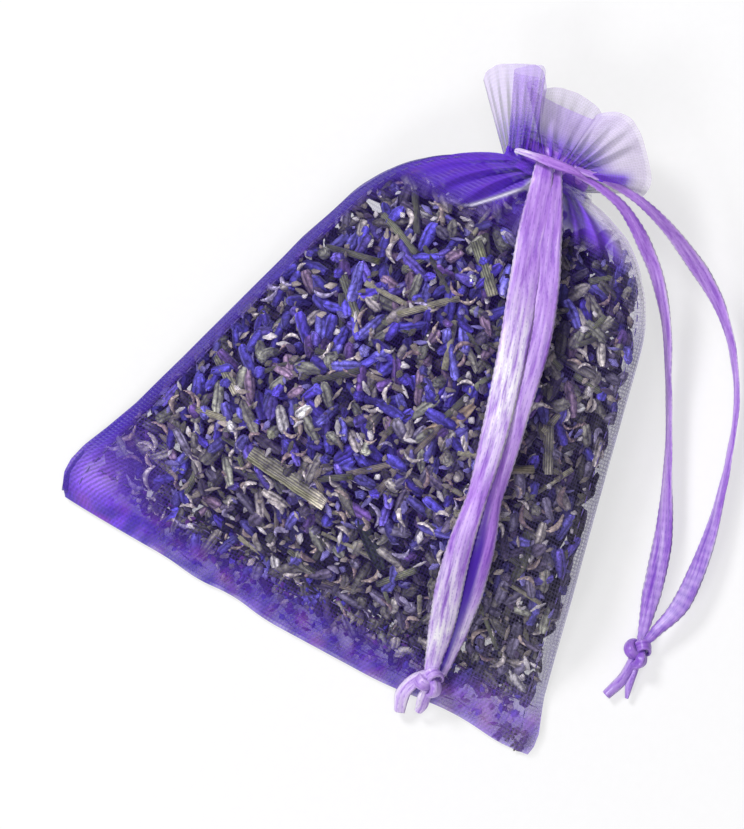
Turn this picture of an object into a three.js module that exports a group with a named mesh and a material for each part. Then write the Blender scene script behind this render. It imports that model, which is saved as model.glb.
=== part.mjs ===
import * as THREE from 'three';

// Lavender sachet: a drawstring bag of sheer organza, filled with dried lavender and drawn shut.
// It lies on its back. X runs across the bag, Y from the bottom seam to the frill, and Z up from
// the table. Sizes are in millimetres, and places along the bag are measured from its bottom edge.

const { lerp, clamp, degToRad } = THREE.MathUtils;

// Bag outline, seen from the front
const bottomWidth = 60;
const cornerHeight = 2.5;
const shoulderWidth = 38.2;
const shoulderLine = 44;
const gatherStart = 42;
const gatherPower = 4;
const neckLine = 57.2;
const neckWidth = 7.4;
const neckLean = 1.4;
const leanPower = 1.6;

// Bag thickness
const clothThickness = 0.5;
const hemHeight = 5;
const fillRise = 20;
const risePower = 2.2;
const crownLine = 28;
const crownHeight = 18;
const crownRoundness = 2.6;
const sideSeamHeight = 6.8;
const sideSeamLine = 20;
const neckHeight = 8.4;
const neckDepth = 4.8;
const liftStart = 42;
const restFlatness = 1.3;

// Folds that run down the front panel from its gathered neck
const gatherFolds = 5;
const gatherFoldDepth = 0.7;
const gatherFoldFull = 52;
const gatherFoldEnd = 56.5;
const gatherFoldFade = 2;

// Seams and thread
const seatGap = 0.3;
const allowanceThickness = 0.3;
const sideAllowanceWidth = 3;
const sideAllowanceInset = 0.6;
const hemAllowanceInset = 0.5;
const threadDiameter = 0.3;
const stitchInset = 2.2;
const stitchEndInset = 1.5;

// Gathered neck: two ribbon loops in a casing, then the frill above it
const neckCornerRoom = 0.2;
const loopThickness = 0.4;
const loopWidth = 1.6;
const loopMouthAngle = 10;
const casingThickness = 0.4;
const casingHeight = 2.4;
const casingMouthAngle = 14;
const frillHeight = 7;
const frillWidth = 22.8;
const frillRootWidth = 11;
const frillSpread = 0.8;
const frillFolds = 7;
const frillRootFold = 0.4;
const frillTopFold = 1.7;
const frillRootLift = 1.4;
const frillTopLift = 3.2;
const frillThickness = 0.6;
const frillDropLeft = 0.45;
const frillDropRight = 0.75;

// Satin ribbon
const ribbonWidth = 3.2;
const ribbonThickness = 0.35;
const doubledThickness = 0.7;
const strandWidth = 2;
const cutEndWidth = 1.6;
const knotLength = 3.2;
const knotWidth = 3;
const knotHeight = 2.6;
const knotWraps = 3;
const knotFurrow = 0.06;

// Lavender
const bedSeat = 0.55;
const bedMargin = 4.6;
const bedHemClearance = 3.5;
const bedNeckClearance = 6.2;
const bedEdgeThickness = 0.6;
const bedDent = 0.9;
const bedDentPitch = 6.4;
const budLength = 4.2;
const budDiameter = 1.7;
const budHeadroom = 0.8;
const budRows = 4;
const budColumns = 5;
const budFirstRow = 20.5;
const budRowPitch = 7;
const budSpread = 0.6;
const budSwing = 32;
const budStepAngle = 137.5;
const leafLength = 5.4;
const leafWidth = 1.9;
const leafThickness = 0.5;
const longChipLength = 9.4;
const longChipThickness = 1.3;
const chipLength = 7;
const chipThickness = 0.9;
const chipFlatness = 0.7;

// How finely the surfaces are divided
const panelColumns = 22;
const hemRows = 3;
const bodyRows = 22;
const allowanceRows = 12;
const threadSides = 6;
const stitchSteps = 14;
const arcSteps = 20;
const frillColumns = 35;
const frillRows = 3;
const tailSteps = 14;
const strandSteps = 6;
const endSteps = 3;
const exitSteps = 2;
const knotSides = 12;
const knotRings = 8;
const bedSteps = 26;
const budSides = 7;
const leafSteps = 6;

const fullTurn = 360;
const halfTurn = 180;
const quarterTurn = 90;

// What the sizes above give
const seamHalf = clothThickness + seatGap + allowanceThickness / 2;
const hemTop = 2 * seamHalf;
const threadLift = seatGap + threadDiameter;
const neckTop = neckHeight + neckDepth / 2;
const neckBottom = neckHeight - neckDepth / 2;
const casingStart = neckLine + threadDiameter + seatGap;
const casingEnd = casingStart + casingHeight;
const casingMiddle = (casingStart + casingEnd) / 2;
const frillRoot = casingEnd + threadDiameter + 2 * seatGap;
const bagLength = frillRoot + frillHeight;
const bedStart = hemHeight + bedHemClearance;
const bedEnd = neckLine - bedNeckClearance;
const bedDepth = clothThickness + budHeadroom + budDiameter + seatGap;
const rightLoopOut = seatGap + neckCornerRoom + loopThickness / 2;
const leftLoopOut = rightLoopOut + loopThickness + seatGap;
const casingOut = leftLoopOut + loopThickness / 2 + seatGap + casingThickness / 2;

const organza = new THREE.MeshStandardMaterial({ color: 0x7a4fd8, roughness: 0.55, metalness: 0 });
const seamOrganza = new THREE.MeshStandardMaterial({ color: 0x5a33c8, roughness: 0.6, metalness: 0 });
const thread = new THREE.MeshStandardMaterial({ color: 0x6f45cf, roughness: 0.7, metalness: 0 });
const satin = new THREE.MeshStandardMaterial({ color: 0xb07ae0, roughness: 0.35, metalness: 0 });
const lavender = new THREE.MeshStandardMaterial({ color: 0x4a3f8f, roughness: 0.9, metalness: 0 });
const stalk = new THREE.MeshStandardMaterial({ color: 0x8b8f78, roughness: 0.85, metalness: 0 });
const leaf = new THREE.MeshStandardMaterial({ color: 0x4f5a48, roughness: 0.85, metalness: 0 });

// Bag surfaces

const share = (y, from, to) => clamp((y - from) / (to - from), 0, 1);
const ease = (t) => (1 - Math.cos(Math.PI * t)) / 2;

function halfWidth(y) {
  const rise = Math.max(0, (y - cornerHeight) / (shoulderLine - cornerHeight));
  const taper = lerp(bottomWidth, shoulderWidth, rise);
  return lerp(taper, neckWidth, share(y, gatherStart, neckLine) ** gatherPower) / 2;
}

function middle(y) {
  return neckLean * share(y, 0, neckLine) ** leanPower;
}

function seamHeight(y) {
  const side = lerp(seamHalf, sideSeamHeight, ease(share(y, hemHeight, sideSeamLine)));
  return lerp(side, neckHeight, ease(share(y, sideSeamLine, neckLine)));
}

function crown(y) {
  const swell = 1 - (1 - share(y, hemHeight, hemHeight + fillRise)) ** risePower;
  return lerp(lerp(hemTop, crownHeight, swell), neckTop, ease(share(y, crownLine, neckLine)));
}

function underside(y) {
  return lerp(0, neckBottom, ease(share(y, liftStart, neckLine)));
}

// Outside of the front panel: it rises from the side seams, at q = -1 and 1, to the crown at q = 0.
function frontSurface(q, y) {
  return lerp(seamHeight(y) + seamHalf, crown(y), 1 - Math.abs(q) ** crownRoundness);
}

// Gathered folds of the front panel: they start below the neck and die out towards the side seams.
function gather(q, y) {
  const grown = ease(share(y, gatherStart, gatherFoldFull)) * ease(share(y, gatherFoldEnd, gatherFoldFull));
  return gatherFoldDepth * grown * (1 - q * q) ** gatherFoldFade * Math.cos(Math.PI * gatherFolds * q);
}

// Outside of the back panel: it drops from the side seams and lies flat where it meets the table.
function backSurface(q, y) {
  const drop = Math.min(1, restFlatness * (1 - Math.abs(q) ** crownRoundness));
  return lerp(seamHeight(y) - seamHalf, underside(y), drop);
}

const acrossAt = (x, y) => (x - middle(y)) / halfWidth(y);
const frontAt = (x, y) => frontSurface(acrossAt(x, y), y);
const backAt = (x, y) => backSurface(acrossAt(x, y), y);

// Closed solids

function solid(positions, triangles) {
  const geometry = new THREE.BufferGeometry();
  geometry.setAttribute('position', new THREE.Float32BufferAttribute(positions, 3));
  geometry.setIndex(triangles);
  geometry.computeVertexNormals();
  return geometry;
}

// A solid between an upper and a lower surface, each a function of two shares from 0 to 1.
function sheetSolid(columns, rows, upper, lower) {
  const positions = [];
  const triangles = [];
  const wide = columns + 1;
  const layer = wide * (rows + 1);
  for (const surface of [upper, lower]) {
    for (let j = 0; j <= rows; j += 1) {
      for (let i = 0; i <= columns; i += 1) {
        positions.push(...surface(i / columns, j / rows).toArray());
      }
    }
  }
  const quad = (a, b, c, d) => triangles.push(a, b, c, a, c, d);
  for (let j = 0; j < rows; j += 1) {
    for (let i = 0; i < columns; i += 1) {
      const a = j * wide + i;
      quad(a, a + 1, a + 1 + wide, a + wide);
      quad(layer + a, layer + a + wide, layer + a + 1 + wide, layer + a + 1);
    }
  }
  const upTo = (count) => Array.from({ length: count }, (_, k) => k);
  const rim = [
    ...upTo(columns),
    ...upTo(rows).map((j) => j * wide + columns),
    ...upTo(columns).map((i) => rows * wide + columns - i),
    ...upTo(rows).map((j) => (rows - j) * wide),
  ];
  rim.forEach((a, k) => {
    const b = rim[(k + 1) % rim.length];
    quad(a, layer + a, layer + b, b);
  });
  return solid(positions, triangles);
}

// A flat band with rounded edges carried along a curve. acrossBand gives its width's direction.
function bandSolid(curve, width, thickness, steps, acrossBand) {
  const flat = (width - thickness) / 2;
  const section = [
    [width / 2, -thickness / 4],
    [width / 2, thickness / 4],
    [flat, thickness / 2],
    [-flat, thickness / 2],
    [-width / 2, thickness / 4],
    [-width / 2, -thickness / 4],
    [-flat, -thickness / 2],
    [flat, -thickness / 2],
  ];
  const sides = section.length;
  const positions = [];
  const triangles = [];
  for (let k = 0; k <= steps; k += 1) {
    const point = curve.getPointAt(k / steps);
    const tangent = curve.getTangentAt(k / steps);
    const across = acrossBand(tangent, k / steps);
    const normal = new THREE.Vector3().crossVectors(across, tangent);
    for (const [sideways, up] of section) {
      const corner = point.clone().addScaledVector(across, sideways).addScaledVector(normal, up);
      positions.push(...corner.toArray());
    }
  }
  for (let k = 0; k < steps; k += 1) {
    for (let s = 0; s < sides; s += 1) {
      const a = k * sides + s;
      const b = k * sides + ((s + 1) % sides);
      triangles.push(a, a + sides, b + sides, a, b + sides, b);
    }
  }
  const last = steps * sides;
  for (let s = 1; s < sides - 1; s += 1) {
    triangles.push(0, s, s + 1);
    triangles.push(last, last + s + 1, last + s);
  }
  return solid(positions, triangles);
}

// Width direction of a ribbon that lies level, turned about its run by angles along it, in degrees.
function ribbonTurn(turns) {
  const up = new THREE.Vector3(0, 0, 1);
  return (tangent, t) => {
    const place = t * (turns.length - 1);
    const k = Math.min(Math.floor(place), turns.length - 2);
    const turn = degToRad(lerp(turns[k], turns[k + 1], place - k));
    const level = new THREE.Vector3().crossVectors(tangent, up).normalize();
    return level.applyAxisAngle(tangent, turn);
  };
}

function route(points) {
  const places = points.map((point) => new THREE.Vector3(...point));
  return new THREE.CatmullRomCurve3(places, false, 'centripetal');
}

// Part of an ellipse round the neck, from one angle to another, at a place along the bag.
class NeckArc extends THREE.Curve {
  constructor(halfAcross, halfDeep, from, to, y) {
    super();
    Object.assign(this, { halfAcross, halfDeep, from, to, y });
  }

  getPoint(t, target = new THREE.Vector3()) {
    const angle = degToRad(lerp(this.from, this.to, t));
    const x = neckLean + this.halfAcross * Math.cos(angle);
    return target.set(x, this.y, neckHeight + this.halfDeep * Math.sin(angle));
  }
}

const alongBag = () => new THREE.Vector3(0, 1, 0);

const sachet = new THREE.Group();
sachet.position.y = -bagLength / 2;

function add(name, geometry, material) {
  const mesh = new THREE.Mesh(geometry, material);
  mesh.name = name;
  sachet.add(mesh);
  return mesh;
}

// Front and back panels, from the bottom edge to the top of the casing

const panelRows = hemRows + bodyRows;

// Rows are even over the flat hem, then closest at the hem and at the neck.
function panelHeight(t) {
  const row = t * panelRows;
  if (row < hemRows) {
    return (hemHeight * row) / hemRows;
  }
  return lerp(hemHeight, casingEnd, ease((row - hemRows) / bodyRows));
}

function panelFace(height) {
  return (s, t) => {
    const y = panelHeight(t);
    const q = 2 * ease(s) - 1;
    return new THREE.Vector3(middle(y) + halfWidth(y) * q, y, height(q, y));
  };
}

const frontFolded = (q, y) => frontSurface(q, y) + gather(q, y);
const frontInside = (q, y) => frontFolded(q, y) - clothThickness;
const backInside = (q, y) => backSurface(q, y) + clothThickness;
const panelSolid = (upper, lower) => sheetSolid(panelColumns, panelRows, panelFace(upper), panelFace(lower));

add('front_panel', panelSolid(frontFolded, frontInside), organza);
add('back_panel', panelSolid(backInside, backSurface), organza);

// Seam allowances, folded in between the panels

function sideAllowance(side) {
  const strip = (offset) => (s, t) => {
    const y = lerp(hemHeight, bedEnd, t);
    const outer = halfWidth(y) - sideAllowanceInset;
    const inset = side > 0 ? 1 - s : s;
    const x = middle(y) + side * (outer - sideAllowanceWidth * inset);
    return new THREE.Vector3(x, y, seamHeight(y) + offset);
  };
  return sheetSolid(1, allowanceRows, strip(allowanceThickness / 2), strip(-allowanceThickness / 2));
}

function hemAllowance() {
  const strip = (offset) => (s, t) => {
    const y = lerp(hemAllowanceInset, hemHeight - hemAllowanceInset, t);
    const reach = halfWidth(y) - sideAllowanceInset;
    return new THREE.Vector3(lerp(-reach, reach, s), y, seamHalf + offset);
  };
  return sheetSolid(allowanceRows, 1, strip(allowanceThickness / 2), strip(-allowanceThickness / 2));
}

add('left_seam_allowance', sideAllowance(-1), seamOrganza);
add('right_seam_allowance', sideAllowance(1), seamOrganza);
add('bottom_seam_allowance', hemAllowance(), seamOrganza);

// Seam stitching on the front

function threadAlong(curve, steps) {
  const section = new THREE.Shape();
  section.absarc(0, 0, threadDiameter / 2, 0, degToRad(fullTurn));
  return new THREE.ExtrudeGeometry(section, { steps, extrudePath: curve, curveSegments: threadSides });
}

function sideStitching(side) {
  const points = [];
  for (let k = 0; k <= stitchSteps; k += 1) {
    const y = lerp(hemHeight, bedEnd, k / stitchSteps);
    const x = middle(y) + side * (halfWidth(y) - stitchInset);
    points.push([x, y, frontAt(x, y) + threadLift]);
  }
  return threadAlong(route(points), stitchSteps);
}

function bottomStitching() {
  const y = hemHeight - threadDiameter;
  const reach = halfWidth(y) - stitchInset - stitchEndInset;
  const ends = [-reach, reach].map((x) => new THREE.Vector3(x, y, hemTop + threadLift));
  return threadAlong(new THREE.LineCurve3(...ends), 1);
}

add('left_side_stitching', sideStitching(-1), thread);
add('right_side_stitching', sideStitching(1), thread);
add('bottom_stitching', bottomStitching(), thread);

// Ribbon loops and casing round the gathered neck, each a clearance outside the last

function neckBand(out, from, to, width, thickness) {
  const arc = new NeckArc(neckWidth / 2 + out, neckDepth / 2 + out, from, to, casingMiddle);
  return bandSolid(arc, width, thickness, arcSteps, alongBag);
}

const loopBand = (out, from, to) => neckBand(out, from, to, loopWidth, loopThickness);
const casingBand = (from, to) => neckBand(casingOut, from, to, casingHeight, casingThickness);

const loopEnd = fullTurn - loopMouthAngle;

add('right_drawstring_loop', loopBand(rightLoopOut, loopMouthAngle, loopEnd), satin);
add('left_drawstring_loop', loopBand(leftLoopOut, halfTurn + loopMouthAngle, halfTurn + loopEnd), satin);
add('front_casing', casingBand(casingMouthAngle, halfTurn - casingMouthAngle), organza);
add('back_casing', casingBand(halfTurn + casingMouthAngle, fullTurn - casingMouthAngle), organza);

// A row of stitches round each edge of the casing: a thread ring stretched to the neck's oval
function stitchRing(y) {
  const ring = new THREE.TorusGeometry(1, threadDiameter / 2, threadSides, arcSteps);
  const place = ring.attributes.position;
  for (let k = 0; k < place.count; k += 1) {
    const angle = Math.atan2(place.getY(k), place.getX(k));
    const out = leftLoopOut + Math.hypot(place.getX(k), place.getY(k)) - 1;
    const x = neckLean + (neckWidth / 2 + out) * Math.cos(angle);
    const z = neckHeight + (neckDepth / 2 + out) * Math.sin(angle);
    place.setXYZ(k, x, y - place.getZ(k), z);
  }
  return ring;
}

add('lower_casing_stitching', stitchRing(casingStart - seatGap - threadDiameter / 2), thread);
add('upper_casing_stitching', stitchRing(casingEnd + seatGap + threadDiameter / 2), thread);

// Frill: the front and back header leaves, spread like a fan and waved in step

function frillLeaf(face) {
  const leafFace = (offset) => (s, t) => {
    const q = 2 * s - 1;
    const drop = q < 0 ? frillDropLeft : frillDropRight;
    const x = neckLean + (lerp(frillRootWidth, frillWidth, t ** frillSpread) / 2) * q;
    const y = frillRoot + frillHeight * t * (1 - drop * q * q);
    const wave = lerp(frillRootFold, frillTopFold, t) * Math.cos(Math.PI * frillFolds * s);
    const z = neckHeight + face * lerp(frillRootLift, frillTopLift, t) + wave + offset;
    return new THREE.Vector3(x, y, z);
  };
  return sheetSolid(frillColumns, frillRows, leafFace(frillThickness / 2), leafFace(-frillThickness / 2));
}

add('front_frill', frillLeaf(1), organza);
add('back_frill', frillLeaf(-1), organza);

// Drawstring tails. Each pair leaves the neck, and its two ends are tied together in a knot.

const frontExitRoute = [
  [-1.06, 62.0, 13.34],
  [-0.19, 59.2, 13.83],
  [0.68, 56.4, 14.32],
];
const frontTailLeftRoute = [
  [0.05, 56.0, 14.75],
  [0.95, 53.0, 14.0],
  [2.0, 50.0, 13.8],
  [3.2, 47.2, 14.35],
  [4.4, 44.5, 15.2],
  [5.5, 41.8, 16.15],
  [6.5, 39.0, 16.95],
  [8.1, 33.5, 18.15],
  [9.5, 28.0, 18.65],
  [10.8, 22.5, 17.95],
  [12.0, 17.5, 16.1],
  [13.2, 13.0, 13.2],
  [14.6, 9.0, 9.35],
  [15.7, 5.8, 5.75],
  [16.3, 3.4, 3.9],
];
const frontTailRightRoute = [
  [1.55, 56.1, 14.1],
  [2.75, 53.2, 13.35],
  [3.9, 50.3, 13.1],
  [5.1, 47.5, 13.65],
  [6.3, 44.8, 14.5],
  [7.5, 42.0, 15.35],
  [8.6, 39.3, 16.15],
  [10.4, 33.8, 17.35],
  [11.5, 28.2, 17.85],
  [12.6, 22.7, 17.05],
  [14.3, 17.7, 15.1],
  [15.7, 13.2, 11.85],
  [16.6, 9.1, 7.85],
  [17.4, 5.9, 4.2],
  [17.6, 3.6, 2.75],
];
const frontKnotPlace = [16.9, 1.4, 3.6];
const frontEndLeftRoute = [
  [15.2, 0.5, 3.1],
  [14.8, -1.4, 2.3],
  [15.6, -3.4, 1.3],
];
const frontEndRightRoute = [
  [17.1, -0.6, 2.9],
  [17.5, -2.0, 1.8],
  [17.4, -3.2, 0.9],
];
const sideStrandRoute = [
  [-3.2, 59.0, 14.75],
  [-0.2, 59.15, 14.75],
  [2.6, 59.3, 14.75],
  [4.9, 59.4, 14.35],
  [6.2, 59.4, 13.75],
];
const sideTailInnerRoute = [
  [6.5, 58.5, 12.8],
  [9.6, 58.2, 11.85],
  [12.2, 57.2, 10.45],
  [14.6, 55.6, 8.9],
  [17.2, 53.5, 7.15],
  [19.6, 50.9, 5.5],
  [21.9, 47.8, 4.1],
  [23.9, 44.4, 3.0],
  [26.2, 40.5, 2.35],
  [28.3, 36.5, 2.0],
  [30.3, 32.4, 1.85],
  [32.1, 28.4, 1.75],
  [33.2, 25.1, 1.6],
  [34.1, 22.0, 1.45],
  [35.3, 17.7, 1.4],
];
const sideTailOuterRoute = [
  [6.5, 60.2, 13.85],
  [9.4, 60.3, 13.2],
  [12.2, 60.1, 12.2],
  [15.6, 59.1, 10.2],
  [18.9, 57.6, 8.1],
  [21.9, 56.1, 6.25],
  [24.7, 54.3, 4.7],
  [27.3, 52.1, 3.6],
  [29.5, 49.6, 2.7],
  [31.4, 46.8, 2.25],
  [32.9, 43.8, 2.0],
  [35.1, 37.3, 1.9],
  [36.8, 30.2, 2.0],
  [37.5, 23.0, 2.35],
  [36.7, 17.8, 2.35],
];
const sideKnotPlace = [35.9, 15.6, 1.75];
const sideEndLeftRoute = [
  [34.9, 13.4, 1.2],
  [34.9, 11.6, 0.9],
  [34.7, 9.6, 0.55],
];
const sideEndRightRoute = [
  [36.9, 13.4, 1.2],
  [37.0, 12.0, 0.9],
  [37.3, 10.4, 0.55],
];

// Turns of a tail about its run, from the neck to the knot, in degrees
const level = [0, 0];
const innerTurns = [0, 0, 45, 60, 45, 15, 0];
const outerTurns = [0, 0, 45, 66, 55, 25, 0];

function ribbon(name, points, width, thickness, steps, turns = level) {
  add(name, bandSolid(route(points), width, thickness, steps, ribbonTurn(turns)), satin);
}

const tail = (name, points, turns) => ribbon(name, points, ribbonWidth, ribbonThickness, tailSteps, turns);
const cutEnd = (name, points) => ribbon(name, points, cutEndWidth, ribbonThickness, endSteps);

// A knot is an oval lump with the furrows of the ribbon wrapped round it.
function knot(name, place) {
  const lump = new THREE.SphereGeometry(1 / 2, knotSides, knotRings);
  const points = lump.attributes.position;
  for (let k = 0; k < points.count; k += 1) {
    const wrap = Math.cos(degToRad(fullTurn) * knotWraps * points.getY(k));
    const swell = 1 - knotFurrow * (1 - wrap);
    points.setXYZ(k, points.getX(k) * swell, points.getY(k), points.getZ(k) * swell);
  }
  lump.scale(knotWidth, knotLength, knotHeight);
  add(name, lump, satin).position.set(...place);
}

ribbon('front_ribbon_exit', frontExitRoute, ribbonWidth, doubledThickness, exitSteps);
tail('front_tail_left', frontTailLeftRoute, level);
tail('front_tail_right', frontTailRightRoute, level);
knot('front_knot', frontKnotPlace);
cutEnd('front_end_left', frontEndLeftRoute);
cutEnd('front_end_right', frontEndRightRoute);
ribbon('side_ribbon_strand', sideStrandRoute, strandWidth, doubledThickness, strandSteps);
tail('side_tail_inner', sideTailInnerRoute, innerTurns);
tail('side_tail_outer', sideTailOuterRoute, outerTurns);
knot('side_knot', sideKnotPlace);
cutEnd('side_end_left', sideEndLeftRoute);
cutEnd('side_end_right', sideEndRightRoute);

// Lavender: the packed bed, then the buds, stalk chips and leaves on it, under the front panel

const bedBottom = (x, y) => backAt(x, y) + clothThickness + bedSeat;
const bedLevel = (x, y) => Math.max(bedBottom(x, y) + bedEdgeThickness, frontAt(x, y) - bedDepth);
const bedPlace = (across, y) => middle(y) + (halfWidth(y) - bedMargin) * across;

// Top of the bed: the packed buds in it stand up to one level, with dents between them.
function bedTop(x, y) {
  const wave = (place) => Math.cos(degToRad((fullTurn * place) / bedDentPitch));
  const dent = (bedDent * (1 - wave(x) * wave(y))) / 2;
  return Math.max(bedBottom(x, y) + bedEdgeThickness, bedLevel(x, y) - dent);
}

function bedFace(height) {
  return (s, t) => {
    const y = lerp(bedStart, bedEnd, ease(t));
    const x = bedPlace(2 * ease(s) - 1, y);
    return new THREE.Vector3(x, y, height(x, y));
  };
}

add('lavender_bed', sheetSolid(bedSteps, bedSteps, bedFace(bedTop), bedFace(bedBottom)), lavender);

// Seats a piece on the bed, with its long side turned from X by a heading in degrees.
function layOnBed(mesh, x, y, heading, height) {
  const step = budDiameter / 2;
  const slope = (dx, dy) => (bedLevel(x + dx, y + dy) - bedLevel(x - dx, y - dy)) / (2 * step);
  const normal = new THREE.Vector3(-slope(step, 0), -slope(0, step), 1).normalize();
  const ahead = new THREE.Vector3(Math.cos(degToRad(heading)), Math.sin(degToRad(heading)), 0);
  const side = new THREE.Vector3().crossVectors(normal, ahead).normalize();
  ahead.crossVectors(side, normal);
  mesh.quaternion.setFromRotationMatrix(new THREE.Matrix4().makeBasis(ahead, side, normal));
  mesh.position.set(x, y, bedLevel(x, y)).addScaledVector(normal, seatGap + height / 2);
}

const bedRow = (row) => budFirstRow + budRowPitch * row;

// A bud is a tube that narrows to its stalk and opens a little at the other end. Its outline is
// given as shares of its diameter and length.
function budGeometry() {
  const outline = [
    [0, -0.5],
    [0.26, -0.46],
    [0.44, -0.2],
    [0.5, 0.1],
    [0.42, 0.42],
    [0, 0.5],
  ].map(([r, h]) => new THREE.Vector2(r * budDiameter, h * budLength));
  return new THREE.LatheGeometry(outline, budSides).rotateZ(degToRad(-quarterTurn));
}

for (let row = 0; row < budRows; row += 1) {
  for (let column = 0; column < budColumns; column += 1) {
    const count = row * budColumns + column + 1;
    const y = bedRow(row);
    const x = bedPlace(budSpread * ((2 * column) / (budColumns - 1) - 1), y);
    const heading = quarterTurn + budSwing * Math.sin(degToRad(budStepAngle * count));
    const name = `bud_${String(count).padStart(2, '0')}`;
    layOnBed(add(name, budGeometry(), lavender), x, y, heading, budDiameter);
  }
}

// Stalk chips and leaves lie between the rows of buds. Their places across are shares of the bed.
function layInRow(mesh, across, row, heading, height) {
  const y = bedRow(row);
  layOnBed(mesh, bedPlace(across, y), y, heading, height);
}

const stalkChips = [
  { across: -0.36, row: -0.95, heading: -4, length: longChipLength, thick: longChipThickness },
  { across: 0.42, row: -0.95, heading: 6, length: chipLength, thick: chipThickness },
  { across: -0.05, row: 3.8, heading: 82, length: chipLength, thick: chipThickness },
  { across: -0.5, row: 0.5, heading: 5, length: chipLength, thick: chipThickness },
  { across: -0.2, row: 1.5, heading: -6, length: chipLength, thick: chipThickness },
];
stalkChips.forEach(({ across, row, heading, length, thick }, k) => {
  const height = thick * chipFlatness;
  const chip = new THREE.BoxGeometry(length, thick, height);
  layInRow(add(`stalk_chip_${k + 1}`, chip, stalk), across, row, heading, height);
});

// A leaf is a thin pointed blade.
function leafGeometry() {
  const blade = new THREE.Shape();
  blade.moveTo(-leafLength / 2, 0);
  blade.quadraticCurveTo(0, -leafWidth, leafLength / 2, 0);
  blade.quadraticCurveTo(0, leafWidth, -leafLength / 2, 0);
  const cut = { depth: leafThickness, bevelEnabled: false, curveSegments: leafSteps };
  return new THREE.ExtrudeGeometry(blade, cut).translate(0, 0, -leafThickness / 2);
}

const leafPlaces = [
  { across: 0.1, row: -1, heading: 8 },
  { across: 0.23, row: 0.5, heading: 12 },
  { across: 0.33, row: 2.5, heading: -8 },
];
leafPlaces.forEach(({ across, row, heading }, k) => {
  layInRow(add(`leaf_${k + 1}`, leafGeometry(), leaf), across, row, heading, leafThickness);
});

export default sachet;
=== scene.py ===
import functools
import math

import bpy
import numpy as np
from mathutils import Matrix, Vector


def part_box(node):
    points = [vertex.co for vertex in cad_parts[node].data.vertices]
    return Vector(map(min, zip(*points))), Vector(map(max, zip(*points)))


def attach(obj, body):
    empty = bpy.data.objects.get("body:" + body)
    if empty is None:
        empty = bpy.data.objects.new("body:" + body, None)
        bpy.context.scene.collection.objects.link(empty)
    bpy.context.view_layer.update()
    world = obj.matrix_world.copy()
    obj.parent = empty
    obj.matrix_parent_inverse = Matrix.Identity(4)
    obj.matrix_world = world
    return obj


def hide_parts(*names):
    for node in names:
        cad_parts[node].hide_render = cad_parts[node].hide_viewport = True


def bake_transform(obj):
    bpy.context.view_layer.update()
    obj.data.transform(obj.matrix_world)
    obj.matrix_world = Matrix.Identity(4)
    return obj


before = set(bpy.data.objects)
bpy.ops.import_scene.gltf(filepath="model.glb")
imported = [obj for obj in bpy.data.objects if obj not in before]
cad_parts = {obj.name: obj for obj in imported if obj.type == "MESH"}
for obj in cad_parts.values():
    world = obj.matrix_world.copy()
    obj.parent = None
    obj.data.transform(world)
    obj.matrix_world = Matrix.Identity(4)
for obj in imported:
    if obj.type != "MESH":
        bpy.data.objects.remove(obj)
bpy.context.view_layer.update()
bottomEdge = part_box("front_panel")[0].y  # the bag's bottom edge on Y
mm = 0.001
fullTurn = 2 * np.pi


def toFrame(points):
    # bag millimetres (across, up from the bottom edge, above the table) to metres in the shared frame
    return np.asarray(points, float) * mm + np.array([0, bottomEdge, 0])


def share(v, low, high):
    # 0 below low, 1 above high, in proportion between
    return np.clip((v - low) / (high - low), 0, 1)


def ease(t):
    # half a cosine wave, level at both ends
    return (1 - np.cos(np.pi * t)) / 2


def easeIn(v, low, high):
    # 0 below low, 1 above high, by half a cosine wave between
    return ease(share(v, low, high))


def blendTo(a, b, t):
    # straight line from a at 0 to b at 1
    return a + (b - a) * t


def bell(v, centre, reach):
    # 1 at the centre, falling away on both sides by the exponential of the distance squared
    return np.exp(-(((v - centre) / reach) ** 2))


def evenly(values, t):
    # values at even places from 0 to 1, joined by straight runs
    return np.interp(t, np.linspace(0, 1, len(values)), values)


def soften(run):
    # moving mean over 17 steps, with the ends held
    return np.convolve(np.pad(run, 8, mode="edge"), np.ones(17) / 17, "valid")


def unit(vectors):
    # each vector divided by its length
    return vectors / np.linalg.norm(vectors, axis=-1, keepdims=True)


def ripples(x, y, wave, seed, count=7):
    # sum of cosine waves of about one length in seeded directions, from about -1 to 1
    rng = np.random.default_rng(seed)
    heading = rng.uniform(0, np.pi, count)
    pitch = fullTurn / (wave * rng.uniform(0.75, 1.35, count))
    phase = rng.uniform(0, fullTurn, count)
    x, y = np.asarray(x, float)[..., None], np.asarray(y, float)[..., None]
    return np.cos((x * np.cos(heading) + y * np.sin(heading)) * pitch + phase).sum(-1) * 1.6 / count


def gridFaces(rows, columns, around=False):
    # the four corners of every cell, row by row; around joins the last column to the first
    i = np.arange(rows - 1)[:, None]
    j = np.arange(columns if around else columns - 1)[None, :]
    k = (j + 1) % columns
    corners = [i * columns + j, i * columns + k, (i + 1) * columns + k, (i + 1) * columns + j]
    return np.stack(corners, -1).reshape(-1, 4)


def tubeFaces(rows, columns):
    # a ring of cells for each step along the run, with one flat face at each end
    ring = np.arange(columns)[None]
    return [gridFaces(rows, columns, True), ring[:, ::-1], ring + (rows - 1) * columns]


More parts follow.
